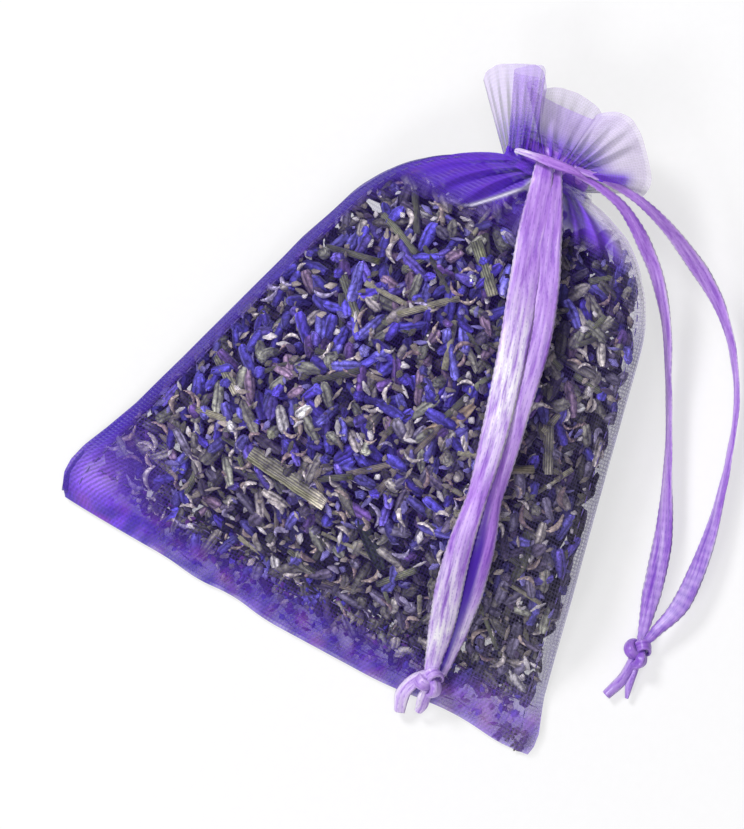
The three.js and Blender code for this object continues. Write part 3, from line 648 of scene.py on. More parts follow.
# zones of the cloth, each from 0 outside to 1 inside
fromLeft, fromRight = halfWidth(v) * (1 + q), halfWidth(v) * (1 - q)
fromFold = x - np.interp(v, *shoulderFold)
hem = 1 - easeIn(v - 1.6 * share(x, 14, 26), 1.2, 4.6)
hemRight = share(x, 12, 20)
leftBand = 1 - easeIn(fromLeft, 0.8, 1.9)
rightBand = 1 - easeIn(fromRight, 0.4, 1.6)
corner = 1 - easeIn(np.hypot(x + 30, v), 5, 15)
# painted highlight on the lower left corner: paler lilac, no deep or plum mottling, and the strongest sheen
# bands
cornerHighlight = bell(x, -27.2, 3) * bell(v, 3.8, 2.4)  # where the light catches the corner
tip = share(x, 25.5, 28) * (1 - share(v, 1.6, 2.6))
wedge = easeIn(fromRight, 2.8, 0.8) * easeIn(v, 44, 50)  # the cloth stands off the fill
neck = easeIn(v, 48 + 3.5 * share(x, 2, 6), 54.5)
shoulder = easeIn(-fromFold, -0.3, 0.7) * easeIn(v, 40, 47)
# the crease along the shoulder fold: a small ridge in the cloth with more cover, painted near white along its
# crest as a highlight
creaseAndHighlight = bell(fromFold, 0, 0.3) * easeIn(v, 49, 50.5) * easeIn(v, 57, 55.5)
blotch, mottle = ripples(x, v, 5.5, 55), ripples(x, v, 2.4, 56)
# the front cloth: lumps over the buds, pleats towards the neck, puckers along the hem
inside = easeIn(v, 6, 12) * easeIn(v, 54, 48) * (1 - np.abs(q) ** 6)
pleat = np.cos(np.pi * bag["pleats"] * q + 1.2 * ripples(q * 6, v * 0.2, 5, 51))
gather = bag["pleatDepth"] * easeIn(v, bag["gatherFrom"], 56) * pleat * (1 - q**4)
pucker = 1 - share(v, 3, 8)
front = frontSurface(q, v) + bag["budLump"] * ripples(x, v, 5.0, 52) * inside + gather
front = front + 0.22 * ripples(x, v * 2, 6.5, 53) * pucker + 0.45 * creaseAndHighlight
front = blendTo(front, seamLine(v) + 0.12, seamPinch(q, v))
hemCover = hem * (0.52 + 0.1 * blotch + 0.26 * mottle) * (1 - 0.25 * share(x, 14, 24)) * (1 - 0.7 * tip)
cover = 0.042 + 0.03 * share(x, 4, 24) + hemCover + 0.7 * leftBand + 0.13 * rightBand + 0.55 * corner
cover = cover + neck * (0.56 + 0.24 * share(x, 2.5, 5) + 0.14 * pleat) * (1 - 0.8 * wedge)
foldCover = np.maximum(shoulder * blendTo(0.12, 0.9, share(v, 48.4, 51.4)), 0.85 * creaseAndHighlight)
cover = np.clip(np.maximum(cover, foldCover), 0, 0.92)
hemDeep = hem * share(mottle, -0.7, 0.5) * (1 - cornerHighlight) * (1 - 0.6 * hemRight)
sideDeep = np.maximum(leftBand, shoulder * blendTo(0.1, 0.7, share(v, 48, 51.5)))
tint = tintMark(
    "violet", ("grey", 0.75 * easeIn(x, 6, 26) * share(v, 2, 8) * (1 - easeIn(v, 44, 50))),
    ("deep", np.maximum(sideDeep, hemDeep)), ("pale", 0.85 * wedge), ("lilac", 0.3 * neck * share(x, 1, 6)),
    ("bright", np.maximum(0.5 * neck * (1 - wedge), 0.7 * hem * share(-mottle, 0.2, 1))),
    ("plum", 0.75 * hem * share(ripples(x, v, 3.2, 57), 0.1, 0.8) * (1 - cornerHighlight)),
    ("lilac", 0.4 * np.maximum(1.3 * cornerHighlight, hem * np.maximum(share(blotch, 0.6, 1.2), hemRight))),
    ("rose", 0.7 * hem * share(x, 14, 22) * share(ripples(x, v, 3.6, 58), 0, 0.9)), ("creaseAndHighlight", creaseAndHighlight))
marks = {"layers": cover, "tint": tint, "lines": np.maximum(cornerHighlight, 0.25 * np.maximum(corner, hem))}
frontPanel = addSheet("front", x, y, front + 0.1, np.stack([q * bag["width"] / 2, y], -1), marks)
# stitch lines on the cloth: a column in from each side edge and a row up from the bottom
cloth = np.stack([x, y, front + 0.16], -1)
seamLines = {"left_side_stitching": cloth[5:162, 6], "right_side_stitching": cloth[5:162, -7],
             "bottom_stitching": cloth[13, 8:-8]}

# the back cloth, no lower than its own thickness off the table; its weave crosses the front's at a slant
backLift = 0.12
back = np.maximum(backLift, backSurface(q, v) + backLift - 0.5 * gather)
back = back + 0.1 * ripples(x, v * 2, 6.5, 54) * pucker * share(np.abs(q), 0, 0.2)
back = np.maximum(backLift, blendTo(back, seamLine(v) - 0.15, seamPinch(q, v)))
marks = {"layers": np.clip((0.28 + 0.25 * hem + 0.4 * neck) * (1 - 0.6 * wedge), 0, 0.9),
         "tint": tintMark("violet", ("bright", neck), ("pale", 0.8 * wedge))}
uv = np.stack([q * bag["width"] / 2 * 1.03, y * 0.97 + 0.06 * x], -1)
backPanel = addSheet("back", x, y, back, uv, marks, under=True)
print("bag cloth:", q.size * 2, "points")

# turned-in cloth at the seams: a soft roll along each side and a flat strip along the bottom
seamRoll = {"width": 1.6, "depth": 0.9, "wobble": 0.2, "inset": 0.9}
rolls = {  # side, cover, how grey, seed
    "left_seam_allowance": (-1, 0.6, 0, 61), "right_seam_allowance": (1, 0.12, 0.8, 62)}
rollPieces = {}
for name, (sign, layers, grey, seed) in rolls.items():
    rise = np.linspace(0.9, 56, 170)
    wobble = seamRoll["wobble"] * ripples(rise, 0 * rise, 7, seed)
    rollX, rollY = clothPlace(sign * (1 - (seamRoll["inset"] + 0.5 * wobble) / halfWidth(rise)), rise)
    a = np.linspace(0, fullTurn, 13)[:-1]
    wide = ((seamRoll["width"] / 2 + wobble) * (1 - 0.5 * share(rise, 46, 56)))[:, None]
    deep = (seamRoll["depth"] / 2 * (1 + 0.3 * ripples(rise, 0 * rise, 4, seed + 5)))[:, None]
    line = np.stack([rollX, rollY, seamHeight(rise) + 0.1], -1)
    points = offsetLine(line, wide * np.cos(a), deep * np.sin(a))
    uv = np.stack([wide * a, rise[:, None] + 0 * a], -1)
    marks = {"layers": layers, "tint": tintMark("deep", ("grey", grey))}
    rollPieces[name] = addPiece("organza_" + name, points, tubeFaces(len(rise), len(a)), organza, uv, marks)
q, v = np.meshgrid(np.linspace(-0.985, 0.985, 121), np.linspace(0, 1, 13))
v = blendTo(0.3, blendTo(8, 3.4, easeIn(q, -0.95, -0.7)), v)  # the strip is widest in the left corner
x, y = clothPlace(q, v)
y = y + 0.9 * ripples(x, 0 * x, 9, 63) * share(v, 1.5, 4)
z = 0.5 + 0.12 * ripples(x, v, 6, 64) + 0.4 * share(v, 4, 8)
marks = {"layers": np.clip(0.55 - 0.2 * share(x, 10, 24) + 0.25 * ripples(x, v, 3, 65), 0.05, 0.9),
         "tint": tintMark("violet", ("deep", share(ripples(x, v, 5, 66), -0.7, 0.9)))}
hemStrip = addSheet("bottom_seam_allowance", x, y, z, np.stack([x * 1.02, y + 0.04 * x], -1), marks)


# the fill: buds, bits of stalk, leaves and crumbs, packed against the cloth over a bed painted near black as
# shade
fill = {
    "budLength": (2.5, 4.2), "bitLength": (1.2, 2.4), "bitShare": 0.25, "budWidth": (1.1, 1.65),
    "rough": 0.05, "gap": 1.55, "backGap": 2.3, "fromTop": 55.2, "edge": 0.9, "lie": 119, "spread": 45,
    "onEnd": 0.16, "topDepth": (0.8, 1.7), "underDepth": (2.0, 2.9), "backDepth": (1.0, 1.9)}
# lowest line of the fill: place across, height above the bottom edge
fillLine = ([-30, -27, -22, -14, 0, 12, 18, 23, 27.5, 30], [8.5, 5.6, 3.6, 2.6, 2.4, 2.2, 2.4, 3.6, 5, 6])
# colours and their shares, where the fill is bluest (left) and where it is greyest (right)
blueColours = {"#5b51cc": 0.24, "#7c75e2": 0.14, "#4b3db0": 0.17, "#6a5ac4": 0.13, "#6c4f9a": 0.08,
               "#8a8a7e": 0.12, "#9a7f9e": 0.05, "#b8aeb0": 0.05, "#e4dee4": 0.03}
greyColours = {"#77708a": 0.26, "#77746c": 0.24, "#5a5168": 0.18, "#6058b0": 0.14, "#98928f": 0.1,
               "#bdb4b2": 0.05, "#40384e": 0.03}


def pickColours(palette, count, rng):
    # linear colours drawn by their shares
    table = np.array([linear(colour) for colour in palette])
    shares = np.array(list(palette.values()))
    return table[rng.choice(len(palette), count, p=shares / sum(palette.values()))]


def fillTop(x):
    # highest line of the fill: it falls away to both sides by the square, with a step under the front ribbon
    left, right = np.minimum(x, 0), np.maximum(x, 0)
    sag = 0.02 * left**2 + 1.8 * share(x, 2, 5) + 0.008 * right**2
    return fill["fromTop"] - sag + 0.4 * np.maximum(x - 6, 0)


def scatter(spacing, rng):
    # a square net of places over the bag, each moved about inside its own cell
    x, v = np.meshgrid(np.arange(-30, 30, spacing), np.arange(1, fill["fromTop"], spacing))
    x, v = (place.ravel() + rng.uniform(-0.5, 0.5, place.size) * spacing for place in (x, v))
    side, leftEdge = sideShare(x, v), fill["edge"] + edgeIn(v)[0]
    across = (side > -1 + leftEdge / halfWidth(v)) & (side < 1 - (fill["edge"] + 0.5) / halfWidth(v))
    keep = across & (v > np.interp(x, *fillLine)) & (v < fillTop(x))
    return x[keep], v[keep]


def bitAxes(along, sideways):
    # a bit's own frame: sideways, out and along
    return np.stack([sideways, np.cross(along, sideways), along], 1)


def lieOn(surface, x, v, depth, heading, tilt, upward):
    # places straight under a cloth surface at a depth, no lower than halfway to the back cloth, and a
    # frame for each: along by heading and tilt, then sideways and out
    def at(a, b, cloth=surface):
        return cloth(np.clip(sideShare(a, b), -0.995, 0.995), b)

    slopeX, slopeV = (at(x + 0.2, v) - at(x - 0.2, v)) / 0.4, (at(x, v + 0.2) - at(x, v - 0.2)) / 0.4
    out = unit(np.stack([-slopeX, -slopeV, np.ones_like(x)], -1)) * upward
    c, s = np.cos(heading), np.sin(heading)
    along = unit(unit(np.stack([c, s, slopeX * c + slopeV * s], -1)) + out * np.tan(tilt)[:, None])
    depth = depth + 1.1 * easeIn(v, 43, 50)  # clear of the pleats under the neck
    height = at(x, v) - upward * depth / np.maximum(np.abs(out[:, 2]), 0.6)
    if upward > 0:
        height = np.maximum(height, (at(x, v) + at(x, v, backSurface)) / 2)
    else:
        height = np.minimum(height, at(x, v) + 1.9)
    return np.stack([x, v, height], -1), bitAxes(along, unit(np.cross(out, along)))


def keepIn(points):
    # bits pressed against the side seams, and then into the room between the two cloths
    v = points[..., 1]
    left, right = edgeIn(v)
    least, most = middle(v) - halfWidth(v) + left + 0.55, middle(v) + halfWidth(v) - right - 0.75
    x = np.clip(points[..., 0], least, most)
    side = sideShare(x, v)
    q = np.clip((x - middle(v)) / (halfWidth(v) - np.where(side < 0, left, right) * side**4), -1, 1)
    low = np.maximum(0.3, blendTo(backSurface(q, v), seamLine(v), seamPinch(q, v)) + 0.25)
    high = blendTo(frontSurface(q, v), seamLine(v), seamPinch(q, v)) - 0.05
    high = high - bag["pleatDepth"] * easeIn(v, bag["gatherFrom"], 56)
    return np.stack([x, v, np.clip(points[..., 2], low, np.maximum(low, high))], -1)


def ringForm(rise, girth, rim, flat=1, bend=0):
    # a small closed tube of unit length: rings at each rise, as wide as their girth, with a rim that may
    # be ribbed, squeezed flat one way and bowed by the square of the rise
    rise, girth = (np.array(row, float)[:, None] for row in (rise, girth))
    a = np.arange(len(rim)) * fullTurn / len(rim)
    across = flat * girth * rim * np.cos(a) / 2 + bend * rise**2
    shape = np.stack([across, girth * rim * np.sin(a) / 2, rise + 0 * a], -1)
    return shape.reshape(-1, 3), tubeFaces(len(rise), len(rim))


def ringUv(rise, sides, around, along):
    # steps round each ring and up its rise, each to its own scale
    return np.stack(np.meshgrid(np.arange(sides) * around, np.array(rise) * along), -1).reshape(-1, 2)


def repeatForm(form, size, place, axes):
    # one small form at every place: its points scaled, turned by the place's frame and moved there
    shape, faces = form
    points = place[:, None] + np.einsum("npk,nkc->npc", shape * size[:, None], axes)
    offset = (np.arange(len(place)) * len(shape))[:, None, None]
    return points, [(group + offset).reshape(-1, group.shape[1]) for group in faces]


# one bud: a ten-sided tube with five ribs, narrow at the stalk end and open at the tip, where it is palest
budRise = [-0.5, -0.36, 0.05, 0.36, 0.5]
budForm = ringForm(budRise, [0.3, 0.78, 1.0, 0.88, 0.58], np.tile([1.0, 0.76], 5))
budUv = ringUv(budRise, 10, 0.5, 1)
budShade = np.repeat([0.35, 0.75, 1.0, 1.25, 1.6], 10)[:, None]


def addBuds(name, surface, x, v, depth, upward, rng):
    count = len(x)
    depth = rng.uniform(*depth, count)
    # most lie aslant, and along the seam where they are close to it
    side = sideShare(x, v)
    beside = 1 - easeIn((1 - np.abs(side)) * halfWidth(v), 1.2, 3.4)
    lie = blendTo(fill["lie"], np.where(side < 0, 75, 105), beside)
    heading = np.radians(lie + fill["spread"] * (1 - 0.75 * beside) * rng.standard_normal(count))
    heading = heading + np.pi * rng.integers(0, 2, count)
    onEnd = rng.uniform(0, 1, count) < fill["onEnd"]
    tilt = np.where(onEnd, rng.uniform(40, 70, count), rng.normal(0, 13, count)) * share(v, 7, 12)
    place, axes = lieOn(surface, x, v, depth, heading, np.radians(tilt), upward)
    wide = rng.uniform(*fill["budWidth"], count)
    broken = rng.uniform(0, 1, count) < fill["bitShare"]
    long = np.where(broken, rng.uniform(*fill["bitLength"], count), rng.uniform(*fill["budLength"], count))
    room = frontSurface(side, v) - backSurface(side, v) - 0.4  # near the hem the buds lie flatter
    size = np.stack([wide, np.minimum(wide * rng.uniform(0.8, 1, count), 0.8 * room), long], -1)
    points, faces = repeatForm(budForm, size, place, axes)
    points = keepIn(points + fill["rough"] * rng.standard_normal(points.shape))
    # blue on the left, greyer to the right, at the bottom and under the shoulder; bits deeper in the fill are
    # painted darker, as shade
    blueShare = (1 - 0.8 * easeIn(x - 0.25 * (v - 30), -4, 12)) * blendTo(0.45, 1, easeIn(v, 11, 21))
    blueShare = blueShare * (1 - 0.85 * easeIn(v - 0.5 * np.minimum(x, 0), 47.5, 51))
    blue = rng.uniform(0, 1, count)[:, None] < blueShare[:, None]
    hue = np.where(blue, pickColours(blueColours, count, rng), pickColours(greyColours, count, rng))
    light = rng.uniform(0.55, 1.6, count) * blendTo(0.9, 1.08, share(x, -6, 8))
    # painted shade: the deeper a bit lies, the darker its colour
    light = light * blendTo(1.0, 0.08, share(depth, 1.0, 2.05))
    # the ribbon keeps the light from what lies close to its right
    ribbonX, ribbonV = np.array(frontRightRoute[::-1]).T[:2]
    light = light * (1 - 0.7 * bell(x - np.interp(v, ribbonV, ribbonX), 2.6, 1.5) * share(v, 37, 43))
    hue = hue[:, None] * light[:, None, None] * budShade
    hue[..., 3] = 1
    print(name, count)
    return addPiece(name, points, faces, driedBud, budUv, {"hue": np.clip(hue, 0, 1)}, smooth=False)


rng = np.random.default_rng(7)
topPlaces, underPlaces = scatter(fill["gap"], rng), scatter(fill["gap"], rng)
budsFront = addBuds("lavender_buds_front", frontSurface, *topPlaces, fill["topDepth"], 1, rng)
budsUnder = addBuds("lavender_buds_under", frontSurface, *underPlaces, fill["underDepth"], 1, rng)
x, v = scatter(fill["backGap"], rng)
flank = np.abs(sideShare(x, v)) > 0.1
budsBack = addBuds("lavender_buds_back", backSurface, x[flank], v[flank], fill["backDepth"], -1, rng)

# the bed: a closed mass a few millimetres inside the cloth, rounded off at both ends, painted near black as
# the shade deep in the fill
bed = {"inset": 2.6, "under": 1.2, "from": 5.2, "to": 52, "margin": 1.9, "lump": 0.35, "colour": "#150f1c"}
rise = np.linspace(bed["from"], bed["to"], 90)[:, None]
a = np.linspace(0, fullTurn, 81)[:-1]
rounded = np.sqrt(np.sin(np.pi * blendTo(0.06, 0.94, share(rise, bed["from"], bed["to"]))))
x = middle(rise) + (halfWidth(rise) - bed["margin"]) * rounded * np.cos(a)
y = rise + 0 * x
high, low = frontSurface(sideShare(x, y), y) - bed["inset"], backSurface(sideShare(x, y), y) + bed["under"]
swell = np.sign(np.sin(a)) * np.abs(np.sin(a)) ** 0.35
z = (high + low) / 2 + np.maximum(0.25, (high - low) / 2) * swell + bed["lump"] * ripples(x, y, 2.6, 71)
bedPiece = addPiece("lavender_bed_core", np.stack([x, y, z], -1), tubeFaces(*x.shape), driedBud,
                    np.stack([x, y], -1), {"hue": linear(bed["colour"])})


def layUnder(x, v, depth, tilt, rng):
    # bits at depths in a range under the front cloth, turned any way and tilted by some degrees
    depth, heading = rng.uniform(*depth, len(x)), rng.uniform(0, fullTurn, len(x))
    return lieOn(frontSurface, x, v, depth, heading, np.radians(rng.normal(0, tilt, len(x))), 1)


def addBits(name, form, uv, size, place, axes, hue, press=keepIn):
    points, faces = repeatForm(form, size, place, axes)
    return addPiece(name, press(points), faces, driedStalk, uv, {"hue": hue[:, None]})


# crumbs: small bent flakes, six-sided lenses, many of them pale
crumb = {"count": 1100, "gap": 1.15, "depth": (0.35, 1.3), "tilt": 20,
         "width": (0.4, 1.0), "thickness": (0.15, 0.4), "length": (0.6, 2.0)}
crumbColours = {"#8d847a": 0.22, "#c4b6ac": 0.2, "#f0e8ee": 0.16,
                "#6d6a56": 0.14, "#5a4a6a": 0.12, "#8f86d6": 0.16}
flakeForm = ringForm([-0.5, 0, 0.5], [0.25, 1, 0.3], np.ones(6), bend=0.35)
flakeUv = flakeForm[0][:, :2] * 2
x, v = scatter(crumb["gap"], rng)
pick = rng.permutation(len(x))[:crumb["count"]]
place, axes = layUnder(x[pick], v[pick], crumb["depth"], crumb["tilt"], rng)
size = np.stack([rng.uniform(*crumb[side], len(pick)) for side in ("width", "thickness", "length")], -1)
hue = pickColours(crumbColours, len(pick), rng)
crumbs = addBits("lavender_crumbs", flakeForm, flakeUv, size, place, axes, hue)

# dust and fibres that slipped down inside the hem: small flat flakes and thin threads of stalk, and some
# flakes gathered in the right corner
dust = {"count": 720, "fibres": 0.22, "inCorner": 40, "reach": 5, "fibre": 0.14, "cornerColour": "#6f6c62"}
dustColours = {"#2a2038": 0.24, "#6e3f96": 0.16, "#7d7a6a": 0.24, "#e0d0d4": 0.18, "#5a4fd0": 0.18}
count = dust["count"]
x, v = rng.uniform(-25, 27.5, count), rng.uniform(0.05, 1, count) ** 0.7 * dust["reach"]
inCorner = np.arange(count) < dust["inCorner"]
x = np.where(inCorner, rng.uniform(26.5, 29.6, count), x)
v = np.where(inCorner, rng.uniform(0.2, 1.9, count), v)
height = blendTo(0.5, rng.uniform(0.85, 1.4, count), share(v, 0.2, 1.8))
place = np.stack([x, v + hemShift(x, v) + 0.4, height], -1)
fibre = (rng.uniform(0, 1, count) < dust["fibres"]) & ~inCorner
heading = np.where(fibre, rng.normal(0, 0.2, count), rng.uniform(0, np.pi, count))
c, s = np.cos(heading), np.sin(heading)
axes = bitAxes(np.stack([c, s, 0 * c], -1), np.stack([-s, c, 0 * c], -1))
wide = np.where(fibre, dust["fibre"], rng.uniform(0.3, 1.0, count))
long = np.where(fibre, rng.uniform(2, 4.5, count), rng.uniform(0.4, 1.2, count))
size = np.stack([wide, np.where(fibre, dust["fibre"], 0.4), long], -1)
hue = pickColours(dustColours, count, rng)
hue = np.where(inCorner[:, None], linear(dust["cornerColour"]), hue)
hemDust = addBits("lavender_hem_dust", flakeForm, flakeUv, size, place, axes, hue, press=np.asarray)

# curled bits of dried petal: bent strips, pale pink, tan and white, most at the lower left and the shoulder
curl = {"count": 260, "gap": 1.9, "depth": (0.45, 1.2), "tilt": 15,
        "length": (1.4, 3.2), "width": (0.45, 0.95)}
curlColours = {"#e6dada": 0.3, "#c9b4ac": 0.3, "#a88f92": 0.2, "#b9aed8": 0.2}
curlForm = ringForm(np.linspace(-0.5, 0.5, 5), [0.4, 0.9, 1.0, 0.8, 0.35], np.ones(6), flat=0.22, bend=1.1)
x, v = scatter(curl["gap"], rng)
rank = np.where((v > 46) & (x < -4), 0.3, np.where(x < 2, 1.6, 1))
rank = np.where((v < 17) & (x < 6), 0.45, rank)
pick = np.argsort(rng.uniform(0, 1, len(x)) * rank)[:curl["count"]]
place, axes = layUnder(x[pick], v[pick], curl["depth"], curl["tilt"], rng)
long, wide = (rng.uniform(*curl[side], len(pick)) for side in ("length", "width"))
hue = pickColours(curlColours, len(pick), rng)
size = np.stack([long, wide, long], -1)
curlBits = addBits("lavender_curls", curlForm, curlForm[0][:, 1:] * 3, size, place, axes, hue)

# thin sticks of stalk: square with soft ridges, clear of the side seams
stick = {"count": 70, "gap": 4.6, "margin": 4.5, "depth": (0.7, 1.3), "tilt": 6,
         "width": (0.55, 1.0), "length": (3.5, 7.5)}
stickColours = {"#7f8266": 0.35, "#a7a287": 0.2, "#5b5c48": 0.25, "#8e8376": 0.2}
stickRise = np.linspace(-0.5, 0.5, 5)
stickForm = ringForm(stickRise, np.ones(5), np.tile([1.0, 0.8], 4))
stickUv = ringUv(stickRise, 8, 0.5, 5)
x, v = scatter(stick["gap"], rng)
inner = np.flatnonzero(np.abs(x - middle(v)) < halfWidth(v) - stick["margin"])
pick = inner[rng.permutation(len(inner))[:stick["count"]]]
place, axes = layUnder(x[pick], v[pick], stick["depth"], stick["tilt"], rng)
wide, long = (rng.uniform(*stick[side], len(pick)) for side in ("width", "length"))
hue = pickColours(stickColours, len(pick), rng)
size = np.stack([wide, wide, long], -1)
sticks = addBits("lavender_sticks", stickForm, stickUv, size, place, axes, hue, press=np.asarray)
print("bed, crumbs, dust, curls and sticks made")


def underFront(run, depth):
    # a run of places held at a depth under the front cloth
    x, v = run.T[:2]
    return np.column_stack([x, v, frontSurface(sideShare(x, v), v) - depth])


# five larger chips of stalk: split lengthwise, so a grooved round back with a paler broken end
chips = {  # from, to, width, colour of the body and of the broken end, seed
    "stalk_chip_1": ((-13.0, 14.4), (-3.0, 13.5), 1.9, "#8f8c7a", "#e6dcca", 81),
    "stalk_chip_2": ((-21.5, 22.0), (-17.5, 19.4), 1.1, "#8b8a72", "#b9b29c", 82),
    "stalk_chip_3": ((-2.4, 47.0), (2.2, 42.6), 1.3, "#83856c", "#aaa68c", 83),
    "stalk_chip_4": ((14.5, 33.0), (17.0, 28.2), 1.1, "#7d7a68", "#a59f90", 84),
    "stalk_chip_5": ((-13.5, 36.5), (-9.8, 33.0), 1.0, "#6e715c", "#98957e", 85),
}
chipPieces = {}
for name, (start, end, wide, body, broken, seed) in chips.items():
    line = underFront(np.linspace(start, end, 42), depth=0.85)
    steps = runOf(line)[:, None]
    a = np.linspace(0, fullTurn, 25)[:-1]
    t = steps / steps[-1]
    ridge = 1 + 0.12 * np.cos(7 * a) + 0.08 * ripples(a * 2 + 0 * t, t * 6 + 0 * a, 2.2, seed)
    torn = 1 - 0.55 * share(t, 0.9, 1) * (np.cos(a + seed) > 0)
    girth = wide / 2 * ridge * torn
    points = offsetLine(line, girth * np.cos(a), 0.6 * girth * np.sin(a))
    hue = blendTo(np.array(linear(body)), np.array(linear(broken)), share(t, 0.72, 0.97)[..., None])
    uv = np.stack([a * wide / 2 + 0 * t, steps + 0 * a], -1)
    faces = tubeFaces(*ridge.shape)
    chipPieces[name] = addPiece("lavender_" + name, points, faces, driedStalk, uv, {"hue": hue})

# three dried leaves: narrow blades with a paler midrib, their edges curled up
leaves = {  # route, width, colour, seed
    "leaf_1": ([(1.2, 13.6, 0), (3.4, 12.2, 0), (6.2, 9.8, 0)], 1.9, "#3c4636", 91),
    "leaf_2": ([(2.6, 25.4, 0), (4.7, 27.8, 0), (6.2, 31.0, 0)], 1.7, "#a8937a", 92),
    "leaf_3": ([(18.0, 21.5, 0), (19.2, 18.8, 0), (19.4, 15.6, 0)], 1.5, "#565846", 93),
}
leafPieces = {}
for name, (route, wide, colour, seed) in leaves.items():
    flat, steps = alongRoute(route, 40)
    blade = wide * np.sin(np.pi * blendTo(0.06, 0.95, steps / steps[-1])) ** 0.7
    points, uv, faces = bandSurface(underFront(flat, depth=0.75), steps, blade, cup=-0.3, crumple=0.16,
                                    seed=seed, columns=11, thickness=0.16)
    hue = np.array(linear(colour)) * (0.75 + 0.5 * bell(uv[..., :1], 0, 0.12))
    hue[..., 3] = 1
    leafPieces[name] = addPiece("lavender_" + name, points, faces, driedLeaf, uv, {"hue": np.clip(hue, 0, 1)})
print("chips and leaves made")


# gathered casing round the neck: half a pleated tunnel in front and half behind, sheerer at its right end
casing = {"across": 5.3, "deep": 4.2, "from": 56.4, "to": 61.2, "tie": 59.1, "waist": 0.16,
          "pleats": 11, "pleatDepth": 0.2}
casingPieces = {}
for name, start, seed in (("front_casing", 0, 101), ("back_casing", np.pi, 102)):
    a, v = np.meshgrid(start + np.linspace(0, np.pi, 131), np.linspace(casing["from"], casing["to"], 21))
    fold = casing["pleatDepth"] * np.cos(casing["pleats"] * a + 0.8 * ripples(a * 3, v, 5, seed))
    waist = 1 - casing["waist"] * np.cos((v - casing["tie"]) / 2.5 * np.pi / 2) ** 2
    x = bag["neckLean"] + (casing["across"] * waist + fold) * np.cos(a)
    z = bag["neckHeight"] + (casing["deep"] * waist + fold) * np.sin(a)
    layers = blendTo(0.5, 0.1, easeIn(v, 58.2, 61.2)) * blendTo(1, 0.12, share(np.cos(a), 0.6, 0.95))
    # the outer crests of the pleats are painted a lighter violet, as light falling on them
    tint = tintMark("violet", ("bright", share(fold, -0.2, 0.2)), ("lilac", easeIn(v, 58, 60.5)))
    uv = np.stack([a * 19, v], -1)
    casingPieces[name] = addSheet(name, x, v, z, uv, {"layers": layers, "tint": tint}, under=True)

# the frill: two leaves of the header, pleated at the root and fanned out in three lobes, the left one
# of the front leaf folded over itself
frill = {"ruffles": 20, "rootDepth": 1.35, "edgeDepth": 0.07, "bulge": 0.8, "roll": 4.2, "flat": (60, 10)}
# outer edge of a leaf: share along it from left to right, place across, height up the bag and off the table
frillEdges = {
    "front_frill": [
        [0, -4.9, 66.6, 9.2], [0.09, -7.6, 65.6, 9.8], [0.13, -8.0, 65.9, 10.6], [0.23, -6.6, 67.1, 11.6],
        [0.32, -5.2, 67.9, 11.5], [0.36, -4.5, 67.2, 11.0], [0.4, -4.6, 66.4, 10.2], [0.46, -6.2, 65.4, 9.0],
        [0.49, -5.6, 65.0, 8.5], [0.55, -2.2, 64.9, 8.4], [0.62, 1.6, 65.2, 9.0], [0.66, 3.0, 65.4, 9.6],
        [0.69, 2.2, 65.7, 10.4], [0.74, 4.2, 67.3, 11.0], [0.79, 6.2, 67.5, 10.8], [0.85, 8.2, 66.3, 10.2],
        [0.91, 10.2, 64.2, 9.6], [0.96, 11.8, 61.9, 9.0], [1, 11.4, 59.9, 8.6]],
    "back_frill": [
        [0, -10.3, 63.2, 7.6], [0.05, -10.6, 64.3, 7.8], [0.12, -9.8, 65.7, 8.0], [0.21, -7.9, 66.8, 8.0],
        [0.3, -5.9, 67.8, 7.8], [0.35, -4.7, 67.4, 7.4], [0.4, -3.4, 65.6, 7.0], [0.44, -4.2, 65.7, 6.4],
        [0.49, -2.7, 66.8, 6.2], [0.57, -0.3, 67.3, 6.0], [0.64, 2.4, 67.0, 6.2], [0.68, 3.5, 66.2, 6.5],
        [0.72, 2.8, 66.0, 7.0], [0.77, 5.0, 67.3, 7.2], [0.83, 7.2, 66.6, 7.2], [0.9, 9.4, 64.7, 7.3],
        [0.96, 11.2, 62.3, 7.4], [1, 11, 60.4, 7.6]],
}
# root of a leaf inside the casing: share along it, place across, height up the bag
frillRoots = {
    "front_frill": [
        [0, -2.2, 58.6], [0.12, -4.2, 57.4], [0.25, -3, 58.4], [0.38, -1.2, 59.1], [0.5, -0.4, 59.2],
        [0.62, 1.6, 59.4], [0.7, 2.2, 59.3], [0.83, 3.4, 59.3], [0.93, 4.4, 59.4], [1, 4.9, 59.15]],
    "back_frill": [
        [0, -3.9, 56.6], [0.15, -3.6, 57.4], [0.3, -2.2, 58.6], [0.45, -0.6, 59], [0.6, 1.2, 59.2],
        [0.75, 3, 59], [0.9, 4.8, 58.4], [1, 5.8, 57.8]],
}
# how pale a leaf is towards its edge: share along it, then amount
frillPale = {
    "front_frill": ([0, 0.44, 0.5, 0.66, 0.72, 0.8, 1], [0.05, 0.05, 0.15, 0.25, 0.6, 0.9, 1]),
    "back_frill": ([0, 0.15, 0.25, 0.4, 0.48, 0.66, 0.74, 1], [0.65, 0.6, 0.3, 0.4, 0.8, 0.8, 0.85, 0.9]),
}


def softLine(rows, s):
    # rows joined by straight runs, rounded by a moving mean, and read at each share along them
    rows, dense = np.array(rows), np.linspace(0, 1, 401)
    return [np.interp(s, dense, soften(np.interp(dense, rows[:, 0], column))) for column in rows.T[1:]]


